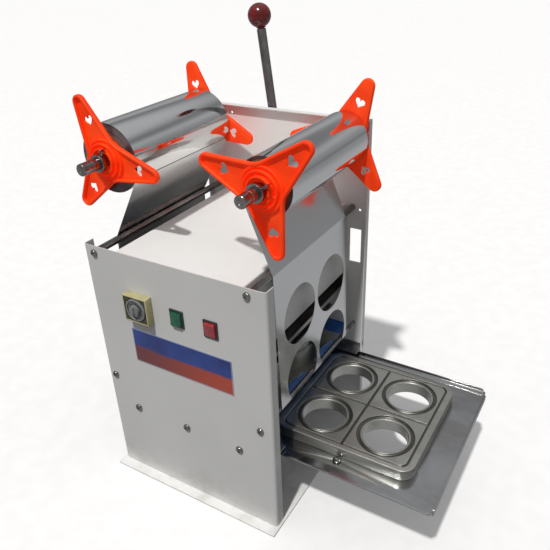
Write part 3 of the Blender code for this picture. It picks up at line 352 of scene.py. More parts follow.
def film_edge():
    """Edge of the wound film: fine concentric layers."""
    f = Finish("wound_film_edge", (0.10, 0.10, 0.11), 0.5, 0.2)
    layers = f.noise(60.0, 2.0)
    tone = f.blend(f.span(layers, 0.3, 0.7), (0.05, 0.05, 0.055), (0.15, 0.15, 0.16))
    return f.finish(tone, f.span(layers, 0.3, 0.7, 0.35, 0.6))


def cardboard():
    f = Finish("cardboard_tube", (0.20, 0.11, 0.06), 0.85)
    fibres = f.noise(500.0, 4.0, 0.65, f.stretched((1.0, 0.25, 1.0)))
    tone = f.blend(f.span(fibres, 0.35, 0.65), (0.23, 0.13, 0.075), (0.13, 0.07, 0.04))
    f.bump(fibres, 0.35, 0.0004)
    return f.finish(tone, f.span(fibres, 0.3, 0.7, 0.75, 0.95))


def orange_plastic():
    """Moulded orange plastic; its emission is painted light, a glow that lifts it above what its lighting gives.
    """
    f = Finish("moulded_orange", (1.0, 0.060, 0.005), 0.50, Emission_Color=(1.0, 0.035, 0.002, 1.0),
               Emission_Strength=0.20, Specular_IOR_Level=0.30)
    cloud = f.noise(30.0, 4.0)
    tone = f.blend(f.span(cloud, 0.3, 0.7), (1.0, 0.075, 0.006), (0.90, 0.045, 0.003))
    scuffs = f.math("MULTIPLY", f.edges(0.0012, 0.01, 0.2), f.span(f.noise(180.0, 4.0, 0.6), 0.48, 0.62))
    tone = f.blend(f.math("MULTIPLY", scuffs, 0.25), tone, (1.0, 0.13, 0.03))
    f.soften(0.0005)
    f.bump(f.noise(900.0, 2.0), 0.05, 0.0003)
    return f.finish(tone, f.span(cloud, 0.3, 0.7, 0.44, 0.60))


def red_ball():
    f = Finish("phenolic_red", (0.15, 0.004, 0.005), 0.20, Coat_Weight=0.25, Coat_Roughness=0.08)
    cloud = f.noise(60.0, 4.0, 0.6)
    tone = f.blend(f.span(cloud, 0.3, 0.7), (0.19, 0.005, 0.005), (0.10, 0.003, 0.003))
    f.bump(f.noise(300.0, 3.0), 0.03, 0.0003)
    return f.finish(tone, f.span(cloud, 0.3, 0.7, 0.12, 0.24))


def black_plastic():
    f = Finish("black_nylon", (0.02, 0.02, 0.022), 0.42)
    grain = f.noise(1200.0, 3.0)
    tone = f.blend(f.span(f.noise(90.0, 4.0), 0.3, 0.7), (0.018, 0.018, 0.020), (0.040, 0.040, 0.042))
    f.soften(0.0004)
    f.bump(grain, 0.12, 0.0002)
    return f.finish(tone, f.span(grain, 0.3, 0.7, 0.36, 0.52))


def olive_plastic():
    f = Finish("aged_beige", (0.46, 0.42, 0.22), 0.42)
    tone = f.blend(f.span(f.noise(45.0, 4.0), 0.3, 0.7), (0.50, 0.46, 0.25), (0.38, 0.34, 0.16))
    tone = f.blend(f.math("MULTIPLY", f.edges(0.0010), 0.4), tone, (0.66, 0.63, 0.42))
    low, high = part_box("thermostat_body")
    middle = (low + high) / 2
    across = f.math("ABSOLUTE", f.math("SUBTRACT", f.axis("X"), middle.x))
    upright = f.math("ABSOLUTE", f.math("SUBTRACT", f.axis("Z"), middle.z))
    # Painted shade: the recessed front face inside the rim is painted near black for the shade on it.
    inside = f.math("MULTIPLY", f.span(f.math("MAXIMUM", across, upright), 0.0216, 0.0220, 1.0, 0.0),
                    f.span(f.axis("Y"), low.y + 0.0006, low.y + 0.0010))
    tone = f.blend(inside, tone, (0.045, 0.048, 0.028))
    f.soften(0.0006)
    f.bump(f.noise(1000.0, 3.0), 0.08, 0.0002)
    return f.finish(tone, f.span(f.noise(70.0, 3.0), 0.3, 0.7, 0.34, 0.50))


def clear_plastic():
    """Dial: a pale knob and rim with a dark ring of white graduation marks between them."""
    low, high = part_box("thermostat_dial")
    middle = (low + high) / 2
    f = Finish("clear_dial", (0.50, 0.51, 0.50), 0.16, Coat_Weight=0.5)
    across = f.math("SUBTRACT", f.axis("X"), middle.x)
    upright = f.math("SUBTRACT", f.axis("Z"), middle.z)
    squares = f.math("MULTIPLY", across, across), f.math("MULTIPLY", upright, upright)
    out = f.math("SQRT", f.math("ADD", *squares))
    tone = f.blend(f.span(f.noise(70.0, 3.0), 0.3, 0.7), (0.24, 0.25, 0.245), (0.14, 0.15, 0.15))
    ring = f.math("MULTIPLY", f.span(out, 0.0096, 0.0100), f.span(out, 0.0160, 0.0164, 1.0, 0.0))
    tone = f.blend(ring, tone, (0.035, 0.038, 0.040))
    turns = f.math("COSINE", f.math("MULTIPLY", f.math("ARCTAN2", upright, across), 30.0))
    marks = f.math("MULTIPLY", f.span(turns, 0.80, 0.92), f.math("MULTIPLY", f.span(out, 0.0128, 0.0130), ring))
    tone = f.blend(f.math("MULTIPLY", marks, 0.8), tone, (0.62, 0.62, 0.60))
    f.bump(f.noise(400.0, 2.0), 0.04, 0.0003)
    return f.finish(tone, f.span(f.noise(120.0, 3.0), 0.3, 0.7, 0.12, 0.24))


def lens(name, light, dark):
    # The emission is painted light: the lens glows in its own colour without a lamp behind it.
    f = Finish(name, light, 0.16, Coat_Weight=0.5, Emission_Color=(*light, 1.0), Emission_Strength=0.25)
    ribs = f.noise(220.0, 3.0, 0.5)
    tone = f.blend(f.span(ribs, 0.3, 0.7), light, dark)
    f.soften(0.0005)
    f.bump(ribs, 0.05, 0.0003)
    return f.finish(tone, f.span(ribs, 0.3, 0.7, 0.12, 0.22))


def label():
    """Two-tone sticker with a pale border and no lettering."""
    low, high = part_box("panel_label")
    f = Finish("printed_sticker", (0.06, 0.09, 0.30), 0.42, Coat_Weight=0.1)
    height = f.axis("Z")
    middle = low.z + 0.50 * (high.z - low.z)
    waver = f.math("MULTIPLY", f.math("SUBTRACT", f.noise(14.0, 2.0), 0.5), 0.016)
    split = f.span(f.math("ADD", height, waver), middle - 0.004, middle + 0.003)
    lower = f.blend(f.span(f.axis("X"), low.x, high.x), (0.16, 0.035, 0.04), (0.44, 0.065, 0.030))
    upper = f.blend(f.span(f.noise(20.0, 3.0), 0.3, 0.7), (0.022, 0.060, 0.29), (0.014, 0.032, 0.17))
    tone = f.blend(split, lower, upper)
    across = f.math("MINIMUM", f.math("SUBTRACT", f.axis("X"), low.x), f.math("SUBTRACT", high.x, f.axis("X")))
    upright = f.math("MINIMUM", f.math("SUBTRACT", height, low.z), f.math("SUBTRACT", high.z, height))
    border = f.span(f.math("MINIMUM", across, upright), 0.0011, 0.0019, 1.0, 0.0)
    tone = f.blend(f.math("MULTIPLY", border, 0.55), tone, (0.45, 0.50, 0.62))
    f.bump(f.noise(80.0, 3.0), 0.08, 0.0005)
    return f.finish(tone, f.span(f.noise(150.0, 3.0), 0.3, 0.7, 0.30, 0.44))


MATERIALS = {
    "white_paint": white_paint(), "blue_paint": blue_paint(), "steel": steel(), "zinc_sheet": zinc_sheet(),
    "chrome": chrome(), "aluminium": aluminium(), "mirror_film": mirror_film(), "cardboard": cardboard(),
    "orange_plastic": orange_plastic(), "red_ball": red_ball(), "black_plastic": black_plastic(),
    "olive_plastic": olive_plastic(), "clear_plastic": clear_plastic(),
    "green_lens": lens("lens_green", (0.0, 0.085, 0.04), (0.0, 0.03, 0.015)),
    "red_lens": lens("lens_red", (0.30, 0.015, 0.022), (0.13, 0.010, 0.014)),
    "label": label(),
}
FILM_EDGE = film_edge()
WEB_FILM = mirror_film("used_film", 0.14)
# Painted shade: the front panel gets the white paint darkened to 0.80, though it is the same paint as the rest.
SHADED_PANEL_PAINT = white_paint("powder_coat_panel_shaded", 0.80)

for node_name, node in NODES.items():
    for place in node.material_slots:
        place.material = SHADED_PANEL_PAINT if node_name == "front_panel" else MATERIALS[SLOT_OF[node_name]]


# ---------------------------------------------------------------------------
# Shapes
# ---------------------------------------------------------------------------
def new_object(name, mesh, matrix=UPRIGHT):
    obj = bpy.data.objects.new(name, mesh)
    bpy.context.scene.collection.objects.link(obj)
    obj.matrix_world = matrix
    return obj


def shade(mesh, angle=38):
    mesh.shade_smooth()
    mesh.set_sharp_from_angle(angle=math.radians(angle))


def from_bmesh(name, bm, matrix=UPRIGHT):
    bmesh.ops.recalc_face_normals(bm, faces=bm.faces)
    mesh = bpy.data.meshes.new(name)
    bm.to_mesh(mesh)
    bm.free()
    shade(mesh)
    return new_object(name, mesh, matrix)


def arc(centre, radius, start, end, count):
    angles = [math.radians(start + (end - start) * i / count) for i in range(count + 1)]
    return [(centre[0] + radius * math.cos(a), centre[1] + radius * math.sin(a)) for a in angles]


def circle(centre, radius, count=96):
    return arc(centre, radius, 0, 360, count)[:-1]


def rounded(points, radius, steps=4, closed=False):
    """Replace each corner of a polyline by a short curve."""
    result = []
    count = len(points)
    for i, point in enumerate(points):
        if not closed and i in (0, count - 1):
            result.append(tuple(point))
            continue
        here, before, after = Vector(point), Vector(points[i - 1]), Vector(points[(i + 1) % count])
        first, last = before - here, after - here
        if first.length < 1e-7 or last.length < 1e-7:
            result.append(tuple(point))
            continue
        start = here + first.normalized() * min(radius, first.length * 0.45)
        end = here + last.normalized() * min(radius, last.length * 0.45)
        for k in range(steps + 1):
            t = k / steps
            result.append(tuple(start * (1 - t) ** 2 + here * 2 * t * (1 - t) + end * t * t))
    return result


def lathe(name, profile, matrix=UPRIGHT, sides=96):
    """Solid of revolution about local w; profile lists (radius, height) down its outer side."""
    bm = bmesh.new()
    rings = []
    for radius, height in profile:
        if radius < 1e-6:
            rings.append([bm.verts.new((0.0, 0.0, height))])
            continue
        turns = [2 * math.pi * i / sides for i in range(sides)]
        rings.append([bm.verts.new((radius * math.cos(a), radius * math.sin(a), height)) for a in turns])
    pairs = list(zip(rings, rings[1:]))
    if profile[0][0] > 1e-6:
        pairs.append((rings[-1], rings[0]))
    for upper, lower in pairs:
        for i in range(sides):
            j = (i + 1) % sides
            above = [upper[i % len(upper)], upper[j % len(upper)]]
            below = [lower[j % len(lower)], lower[i % len(lower)]]
            corners = list(dict.fromkeys(above + below))
            if len(corners) > 2:
                bm.faces.new(corners)
    return from_bmesh(name, bm, matrix)


def settled(obj):
    """Turn a curve, or a mesh with modifiers, into a plain welded mesh."""
    depsgraph = bpy.context.evaluated_depsgraph_get()
    depsgraph.update()
    mesh = bpy.data.meshes.new_from_object(obj.evaluated_get(depsgraph))
    bm = bmesh.new()
    bm.from_mesh(mesh)
    bmesh.ops.remove_doubles(bm, verts=bm.verts, dist=0.000005)
    bmesh.ops.recalc_face_normals(bm, faces=bm.faces)
    bm.to_mesh(mesh)
    bm.free()
    mesh.materials.clear()
    name, matrix = obj.name, obj.matrix_world.copy()
    bpy.data.objects.remove(obj, do_unlink=True)
    shade(mesh)
    return new_object(name, mesh, matrix)


def plate(name, loops, low, high, matrix=UPRIGHT, edge=0.0, steps=2):
    """Flat plate from closed loops, the later ones holes, between two heights, with rounded edges."""
    curve = bpy.data.curves.new(name, "CURVE")
    curve.dimensions = "2D"
    curve.fill_mode = "BOTH"
    curve.extrude = (high - low) / 2 - edge
    curve.bevel_depth = edge
    curve.bevel_resolution = steps
    curve.offset = -edge
    for points in loops:
        spline = curve.splines.new("POLY")
        spline.points.add(len(points) - 1)
        for target, (u, v) in zip(spline.points, points):
            target.co = (u, v, 0.0, 1.0)
        spline.use_cyclic_u = True
    return settled(new_object(name, curve, matrix @ at(0, 0, (low + high) / 2)))


def block(name, low, high, matrix=UPRIGHT, bevel=0.0, segments=3):
    low, high = Vector(low), Vector(high)
    bm = bmesh.new()
    bmesh.ops.create_cube(bm, size=1.0)
    bmesh.ops.scale(bm, vec=high - low, verts=bm.verts)
    bmesh.ops.translate(bm, vec=(low + high) / 2, verts=bm.verts)
    if bevel:
        bmesh.ops.bevel(bm, geom=bm.edges[:], offset=bevel, segments=segments, profile=0.5, affect="EDGES")
    return from_bmesh(name, bm, matrix)


def combine(obj, tools, operation="DIFFERENCE"):
    for tool in tools:
        step = obj.modifiers.new(operation, "BOOLEAN")
        step.operation = operation
        step.solver = "EXACT"
        step.object = tool
    result = settled(obj)
    for tool in tools:
        bpy.data.objects.remove(tool, do_unlink=True)
    return result


def folded(name, path, run, thickness, matrix=UPRIGHT):
    """Sheet: a centre line (u, v) drawn out along w over run, given a thickness."""
    bm = bmesh.new()
    near = [bm.verts.new((u, v, run[0])) for u, v in path]
    far = [bm.verts.new((u, v, run[1])) for u, v in path]
    for i in range(len(path) - 1):
        bm.faces.new((near[i], near[i + 1], far[i + 1], far[i]))
    obj = from_bmesh(name, bm, matrix)
    solid = obj.modifiers.new("sheet", "SOLIDIFY")
    solid.thickness = thickness
    solid.offset = 0.0
    return settled(obj)


def dress(obj, node):
    """Give a piece its material and body, and let it stand for the CAD node that it details."""
    obj.data.transform(obj.matrix_world)
    obj.matrix_world = UPRIGHT
    obj.data.materials.clear()
    obj.data.materials.append(MATERIALS[SLOT_OF[node]])
    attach(obj, BODY_OF[node])
    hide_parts(node)


def cup_places(centre_x):
    half = MOULD_PITCH / 2
    return {"front_left": (centre_x - half, CENTRE_Y - half), "front_right": (centre_x + half, CENTRE_Y - half),
            "rear_left": (centre_x - half, CENTRE_Y + half), "rear_right": (centre_x + half, CENTRE_Y + half)}


# ---------------------------------------------------------------------------
# Film rolls
# ---------------------------------------------------------------------------
def star_loop(inset=0.0):
    """Three arms with rounded tips whose straight sides touch the hub circle."""
    tip, hub = STAR_TIP_ROUND - inset, STAR_HUB - inset
    reach = STAR_TIP - STAR_TIP_ROUND
    half = math.degrees(math.acos((hub - tip) / reach))
    valley = hub / math.cos(math.radians(half - 60))
    points = []
    for middle in (0, 120, 240):
        centre = (reach * math.cos(math.radians(middle)), reach * math.sin(math.radians(middle)))
        side = arc(centre, tip, middle - half, middle + half, 14)
        notch = math.radians(middle + 60)
        corner = (valley * math.cos(notch), valley * math.sin(notch))
        following = math.radians(middle + 120)
        reach_next = (reach * math.cos(following), reach * math.sin(following))
        leaving = arc(reach_next, tip, middle + 120 - half, middle + 120 + half, 14)[0]
        points += side + rounded([side[-1], corner, leaving], 0.010 - inset, 6)[1:-1]
    return points


def heart_loop(distance, size, angle):
    loop = []
    turn = math.radians(angle)
    for step in range(36):
        t = 2 * math.pi * step / 36
        u = distance + size * (0.81 * math.cos(t) - 0.31 * math.cos(2 * t) - 0.12 * math.cos(3 * t)
                               - 0.06 * math.cos(4 * t))
        v = size * math.sin(t) ** 3
        loop.append((u * math.cos(turn) - v * math.sin(turn), u * math.sin(turn) + v * math.cos(turn)))
    return loop


def make_star(roll, end, face_y, outward, angle):
    name = f"{roll}_hub_{end}"
    facing = Matrix.Rotation(0.0 if outward < 0 else math.pi, 4, "Z")
    turn = Matrix.Rotation(math.radians(angle if outward < 0 else 180 - angle), 4, "Z")
    place = at(ROLL_X[roll], face_y, ROLL_Z) @ facing @ FACING_FRONT @ turn
    hearts = [heart_loop(HEART_DISTANCE, HEART_SIZE, 120 * arm) for arm in range(3)]
    star = plate(name, [star_loop(0.0008)] + hearts + [circle((0, 0), 0.020)], 0.0, 0.0034, place, 0.0007)
    rim = plate("rim", [star_loop(), star_loop(0.0052)], 0.0004, 0.0082, place, 0.0021, 4)
    wall = rounded([(0.0338, 0.0076), (0.0338, 0.0010), (0.0300, 0.0010), (0.0300, 0.0076)], 0.0012, 4, True)
    shoulder = lathe("shoulder", wall, place)
    plug, bore = CORE_RADIUS[0] - GAP, ROLL_SHAFT_RADIUS + GAP
    hub = [(0.0278, 0.0112), (0.0278, 0.0016), (plug, 0.0016), (plug, -0.014), (bore, -0.014),
           (bore, 0.0065), (0.0176, 0.0065), (0.0176, 0.0140), (0.0206, 0.0140), (0.0206, 0.0048),
           (0.0246, 0.0048), (0.0246, 0.0112)]
    hub = lathe("hub", rounded(hub, 0.0008, 3, True), place)
    tools = [rim, shoulder, hub]
    for arm in range(3):
        rib = block("rib", (0.0190, -0.0011, 0.0030), (0.0262, 0.0011, 0.0098),
                    place @ Matrix.Rotation(math.radians(120 * arm + 60), 4, "Z"), 0.0004)
        tools.append(rib)
    star = combine(star, tools, "UNION")
    dress(star, f"{roll}_star_{end}")


def make_shaft(roll):
    x = ROLL_X[roll]
    front, rear = SHAFT_FRONT, -(BACK_FRONT - 0.006)
    collar = SHAFT_COLLAR
    radius = ROLL_SHAFT_RADIUS
    profile = [(0.0, front - 0.0012), (0.0030, front - 0.0012), (0.0042, front), (radius - 0.0010, front),
               (radius, front - 0.0010), (radius, 0.1500), (radius - 0.0007, 0.1494), (radius - 0.0007, 0.1476),
               (radius, 0.1470), (radius, rear), (0.0, rear)]
    shaft = lathe(f"{roll}_roll_shaft", profile, at(x, 0, ROLL_Z) @ FACING_FRONT, 64)
    ring = [(COLLAR_RADIUS, collar[0]), (COLLAR_RADIUS, collar[1]), (radius - 0.0005, collar[1]),
            (radius - 0.0005, collar[0])]
    ring = lathe("collar", rounded(ring, 0.0008, 3, True), at(x, 0, ROLL_Z) @ FACING_FRONT, 64)
    turn = math.radians(WING_ANGLE[roll])
    place = at(x, -(collar[0] + collar[1]) / 2, ROLL_Z) @ Matrix.Rotation(-turn, 4, "Y")
    along_x = Matrix.Rotation(math.radians(90), 4, "Y")
    stem = [(0.0, 0.0228), (0.0020, 0.0228), (0.0023, 0.0222), (0.0023, 0.0100), (0.0, 0.0100)]
    stem = lathe("stem", stem, place @ along_x, 24)
    wing = plate("wing", [rounded([(0.0195, -0.0025), (0.0210, -0.0056), (0.0262, -0.0056), (0.0255, 0.0),
                                   (0.0262, 0.0056), (0.0210, 0.0056), (0.0195, 0.0025)], 0.0015, 4, True)],
                 -0.0010, 0.0010, place, 0.0005)
    dress(combine(shaft, [ring, stem, wing], "UNION"), f"{roll}_shaft")


def make_roll(roll):
    x = ROLL_X[roll]
    inner, outer = CORE_RADIUS
    place = at(x, 0, ROLL_Z) @ FACING_FRONT
    front, rear = -FILM_Y[0], -FILM_Y[1]
    tube = rounded([(outer, front - GAP), (outer, rear + GAP), (inner, rear + GAP), (inner, front - GAP)],
                   0.0006, 3, True)
    dress(lathe(f"{roll}_cardboard_core", tube, place, 96), f"{roll}_core")
    layers = random.Random(7 if roll == "supply" else 11)
    steps = 11
    radius = ROLL_RADIUS[roll]
    front_face, rear_face = [], []
    for i in range(steps):
        r = outer + GAP + (radius - outer - GAP) * (i + 0.5) / steps
        sink = layers.uniform(0.0, 0.0009)
        half = (radius - outer - GAP) / steps / 2
        front_face += [(r - half * 0.98, front - sink), (r + half * 0.98, front - sink)]
        sink = layers.uniform(0.0, 0.0009)
        rear_face += [(r - half * 0.98, rear + sink), (r + half * 0.98, rear + sink)]
    front_face[-1] = (radius, front - 0.0003)
    rear_face[-1] = (radius, rear + 0.0003)
    profile = [(radius, front - 0.0003), (radius, rear + 0.0003)] + rear_face[::-1][1:] + front_face[:-1]
    wound = lathe(f"{roll}_wound_film", profile, place, 160)
    dress(wound, f"{roll}_film_roll")
    wound.data.materials.append(FILM_EDGE)
    for face in wound.data.polygons:
        out = math.hypot(face.center.x - x, face.center.z - ROLL_Z)
        if abs(face.normal.y) > 0.5 or out < radius - 0.0006:
            face.material_index = 1
    make_star(roll, "front", FILM_Y[0] - STAR_STANDOFF, -1, STAR_ANGLES[roll][0])
    make_star(roll, "rear", FILM_Y[1] + STAR_STANDOFF, 1, STAR_ANGLES[roll][1])
    make_shaft(roll)


# ---------------------------------------------------------------------------
# Film web
# ---------------------------------------------------------------------------
def tangent(first, second):
    """Ends of the line that leaves one circle and meets the next; a positive radius lies to the left."""
    (c1, h1), (c2, h2) = first, second
    span = Vector(c2) - Vector(c1)
    heading = math.atan2(span.y, span.x) - math.asin((h2 - h1) / span.length)
    left = Vector((-math.sin(heading), math.cos(heading)))
    return Vector(c1) - h1 * left, Vector(c2) - h2 * left


def film_path():
    clear = GAP + FILM_THICK / 2
    stops = [((ROLL_X["supply"], ROLL_Z), -(ROLL_RADIUS["supply"] + 0.0006))]
    order = ("top_left", "low_left", "low_right", "top_right")
    stops += [(RODS[name], ROD_RADIUS[name] + clear) for name in order]
    stops.append(((ROLL_X["takeup"], ROLL_Z), -(ROLL_RADIUS["takeup"] + 0.0006)))
    lines = [tangent(a, b) for a, b in zip(stops, stops[1:])]
    points = [tuple(lines[0][0])]
    for (centre, radius), arriving, leaving in zip(stops[1:-1], lines, lines[1:]):
        start = math.degrees(math.atan2(arriving[1].y - centre[1], arriving[1].x - centre[0]))
        end = math.degrees(math.atan2(leaving[0].y - centre[1], leaving[0].x - centre[0]))
        points += arc(centre, radius, start, start + (end - start) % 360, 14)
    points.append(tuple(lines[-1][1]))
    return points


def make_film_web():
    path = film_path()
    web = folded("sealing_film", path, (-FILM_Y[1], -FILM_Y[0]), FILM_THICK, FACING_FRONT)
    half = MOULD_PITCH / 2
    tools = []
    turn_x, turn_z = RODS["low_right"]
    for side in (-1, 1):
        y = CENTRE_Y + side * half
        for z in FILM_HOLE_Z:
            upright = at(turn_x, y, z) @ FACING_RIGHT
            tools.append(plate("hole", [circle((0, 0), FILM_HOLE)], -0.015, 0.015, upright))
        wrapped = at(turn_x + FILM_HOLE_Z[1] - turn_z, y, turn_z - 0.006)
        tools.append(plate("hole", [circle((0, 0), FILM_HOLE)], -0.006, 0.006, wrapped))
    for x, y in cup_places(0.0).values():
        under = at(x, y, RODS["low_left"][1])
        tools.append(plate("hole", [circle((0, 0), FILM_HOLE)], -0.015, 0.015, under))
    web = combine(web, tools)
    dress(web, "film_web")
    web.data.materials[0] = WEB_FILM


# ---------------------------------------------------------------------------
# Drawer
# ---------------------------------------------------------------------------
def rounded_rectangle(half_x, half_y, corner, centre=(0.0, 0.0), steps=10):
    loop = []
    for quarter, (sx, sy) in enumerate(((1, 1), (-1, 1), (-1, -1), (1, -1))):
        middle = (centre[0] + sx * (half_x - corner), centre[1] + sy * (half_y - corner))
        loop += arc(middle, corner, 90 * quarter, 90 * quarter + 90, steps)
    return loop


def make_mould():
    half_x, half_y = MOULD_HALF
    low, top = TRAY_TOP + GAP, MOULD_TOP
    centre = (DRAWER_X, CENTRE_Y)
    loops = [rounded_rectangle(half_x, half_y, MOULD_CORNER, centre, 12)]
    mould = plate("cup_mould", loops, low, top, UPRIGHT, 0.0006)
    tools = [plate("border", [rounded_rectangle(half_x - 0.010, half_y - 0.008, 0.014, centre),
                              rounded_rectangle(half_x - 0.014, half_y - 0.012, 0.010, centre)],
                   top - GROOVE_DEPTH, top + 0.002)]
    for half_u, half_v in ((half_x - 0.012, 0.0025), (0.0025, half_y - 0.010)):
        tools.append(block("groove", (DRAWER_X - half_u, CENTRE_Y - half_v, top - GROOVE_DEPTH - 0.0001),
                           (DRAWER_X + half_u, CENTRE_Y + half_v, top + 0.003)))
    inner, outer = (CUP_RADIUS + distance for distance in RING_GROOVE)
    ring = [(outer, 0.006), (outer, -0.0032), (outer - 0.0007, -0.0035),
            (inner + 0.0007, -0.0035), (inner, -0.0028), (inner, 0.006)]
    mouth = CUP_RADIUS + 0.0012
    bore = [(0.0, 0.01), (mouth, 0.01), (mouth, 0.0004), (CUP_RADIUS, -0.0010), (CUP_RADIUS, -0.03),
            (0.0, -0.03)]
    for x, y in cup_places(DRAWER_X).values():
        tools.append(lathe("ring", ring, at(x, y, top), 128))
        tools.append(lathe("bore", bore, at(x, y, top), 128))
    dress(combine(mould, tools), "mould_plate")


def make_tray():
    low_corner, high_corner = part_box("drawer_tray")
    start, end = low_corner.x, high_corner.x - 0.0025
    front, rear = low_corner.y, high_corner.y
    low, top = TRAY_LOW, TRAY_TOP
    outline = rounded([(start, front), (end, front), (end, rear), (start, rear)], 0.004, 4, True)
    holes = [circle(place, CUP_RADIUS + 0.002) for place in cup_places(DRAWER_X).values()]
    holes.append(circle(MOULD_SCREW, MOULD_SCREW_HOLE, 24))
    tray = plate("tray_sheet", [outline] + holes, low, top, UPRIGHT, 0.0004)
    step = rear - 0.0130
    lip_path = rounded([(step, top + 0.0001), (step, top + 0.0012), (rear - 0.0025, top + 0.0012),
                        (rear - 0.0018, top + 0.0060), (rear, top + 0.0060), (rear, low + 0.0004),
                        (step, low + 0.0004)], 0.0007, 3, True)
    lip = plate("lip", [lip_path], start + 0.0005, end - 0.0045, FACING_RIGHT, 0.0004)
    near, far = front + 0.010, rear - 0.008
    flange = [(near, top - 0.0004), (near, top - 0.0130), (far, top - 0.0130), (far, top - 0.0004)]
    flange = plate("flange", [rounded(flange, 0.003, 4, True)], end - 0.0008, end + 0.0025, FACING_RIGHT, 0.0006)
    dress(combine(tray, [lip, flange], "UNION"), "drawer_tray")


# ---------------------------------------------------------------------------
# Screws and rods
# ---------------------------------------------------------------------------
def phillips(name, node, place, size, spin):
    """Pan-head screw with a cross recess; size is its head's radius and height and its shank's length."""
    radius, height, shank = size
    profile = [(0.0, height), (radius * 0.56, height * 0.97), (radius * 0.84, height * 0.82),
               (radius * 0.98, height * 0.50), (radius, height * 0.14), (radius * 0.97, 0.0)]
    profile += [(SCREW_SHANK, 0.0), (SCREW_SHANK, -shank), (0.0, -shank)]
    screw = lathe(name, profile, place, 40)
    tools = []
    for turn in (spin, spin + 90):
        spun = place @ Matrix.Rotation(math.radians(turn), 4, "Z")
        low, high = (-radius * 0.56, -0.00055, height * 0.38), (radius * 0.56, 0.00055, height * 1.2)
        tools.append(block("slot", low, high, spun, 0.0002, 2))
    dress(combine(screw, tools), node)


def make_screws():
    seat = PANEL_FRONT - GAP
    for spin, (name, (x, z)) in enumerate(RODS.items()):
        place = at(x, seat, z) @ FACING_FRONT
        phillips(f"screw_{name}", f"rod_screw_{name}", place, (0.0060, 0.0045, 0.012), 20 + 33 * spin)
    for number, (x, z) in enumerate(RAIL_BOLTS, 1):
        place = at(x, seat, z) @ FACING_FRONT
        phillips(f"screw_rail_{number}", f"rail_bolt_{number}", place, (0.0065, 0.0045, 0.008), 41 * number - 29)
    phillips("screw_mould", "mould_screw", at(*MOULD_SCREW, TRAY_TOP + GAP), (0.0074, 0.0032, 0.008), 15)


def make_rods():
    for name in RODS:
        low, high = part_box(f"guide_rod_{name}")
        x, z = RODS[name]
        length = high.y - low.y
        radius = ROD_RADIUS[name]
        profile = [(0.0, length - 0.013), (0.0026, length - 0.012), (0.0026, length), (radius - 0.0006, length),
                   (radius, length - 0.0006), (radius, 0.0006), (radius - 0.0006, 0.0), (0.0, 0.0)]
        dress(lathe(f"film_rod_{name}", profile, at(x, high.y, z) @ FACING_FRONT, 48), f"guide_rod_{name}")


# ---------------------------------------------------------------------------
# Lever
# ---------------------------------------------------------------------------
def make_lever():
    direction = (BALL - LEVER_PIVOT).normalized()
    lean = Vector((0, 0, 1)).rotation_difference(direction).to_matrix().to_4x4()
    length = (BALL - LEVER_PIVOT).length
    pivot = Matrix.Translation(LEVER_PIVOT)
    outer, half = LEVER_HUB
    bore = LEVER_SHAFT_RADIUS + GAP
    section = rounded([(outer, half), (outer, -half), (bore, -half), (bore, half)], 0.0012, 3, True)
    hub = lathe("lever_handle", section, pivot @ FACING_FRONT, 64)
    neck = length - BALL_RADIUS
    profile = [(0.0, length + 0.006), (LEVER_STUD_RADIUS - 0.0005, length + 0.006),
               (LEVER_STUD_RADIUS, length + 0.0055), (LEVER_STUD_RADIUS, neck - GAP),
               (LEVER_ROD_RADIUS - 0.0004, neck - 0.0014), (LEVER_ROD_RADIUS, neck - 0.0026),
               (LEVER_ROD_RADIUS, 0.0125), (0.0, 0.0125)]
    rod = lathe("rod", profile, pivot @ lean, 48)
    dress(combine(hub, [rod], "UNION"), "lever_arm")
    sphere = [(BALL_RADIUS * math.sin(a), BALL_RADIUS * math.cos(a))
              for a in [math.radians(180 * i / 40) for i in range(1, 36)]]
    base = -BALL_RADIUS + 0.0002
    bore = LEVER_STUD_RADIUS + GAP
    ball = [(0.0, BALL_RADIUS)] + sphere
    ball += [(0.0084, sphere[-1][1] - 0.0008), (0.0080, base), (0.0060, base), (bore, 0.0065), (0.0, 0.0065)]
    dress(lathe("lever_knob", ball, Matrix.Translation(BALL) @ lean, 72), "lever_ball")


# ---------------------------------------------------------------------------
# Controls
# ---------------------------------------------------------------------------
def make_thermostat():
    low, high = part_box("thermostat_body")
    x, z = (low.x + high.x) / 2, (low.z + high.z) / 2
    face, half = CASE_DEPTH, CASE_HALF
    place = at(x, PANEL_FRONT - GAP, z) @ FACING_FRONT
    body = block("controller_case", (-half, -half, 0.0), (half, half, face), place, 0.0012)
    rear = block("rear", (-0.022, -0.022, -0.050), (0.022, 0.022, 0.001), place, 0.0008)
    body = combine(body, [rear], "UNION")
    window = rounded_rectangle(0.0218, 0.0218, 0.0015, steps=4)
    shallow = plate("shallow", [window], face - 0.0012, face + 0.004, place)
    cup = [(0.0, 0.004), (0.0212, 0.004), (0.0205, -0.0014), (0.0205, -0.003), (0.0, -0.003)]
    recess = lathe("recess", cup, place @ at(0, 0, face), 96)
    spindle = lathe("spindle", [(0.0, 0.0), (0.0036, 0.0), (0.0036, -0.012), (0.0, -0.012)],
                    place @ at(0, 0, face - 0.002), 32)
    dress(combine(body, [shallow, recess, spindle]), "thermostat_body")
    base = place @ at(0, 0, face - 0.003 + GAP)
    profile = [(0.0, 0.0068), (0.0082, 0.0066), (0.0092, 0.0058), (0.0098, 0.0020), (0.0158, 0.0014),
               (0.0166, 0.0032), (0.0183, 0.0036), (0.0192, 0.0030), (0.0195, 0.0020), (0.0195, 0.0),
               (0.0030, 0.0), (0.0030, -0.006), (0.0, -0.006)]
    dial = lathe("controller_dial", profile, base, 96)
    grip = block("grip", (-0.0014, -0.0078, 0.0010), (0.0014, 0.0078, 0.0095), base, 0.0006)
    dress(combine(dial, [grip], "UNION"), "thermostat_dial")


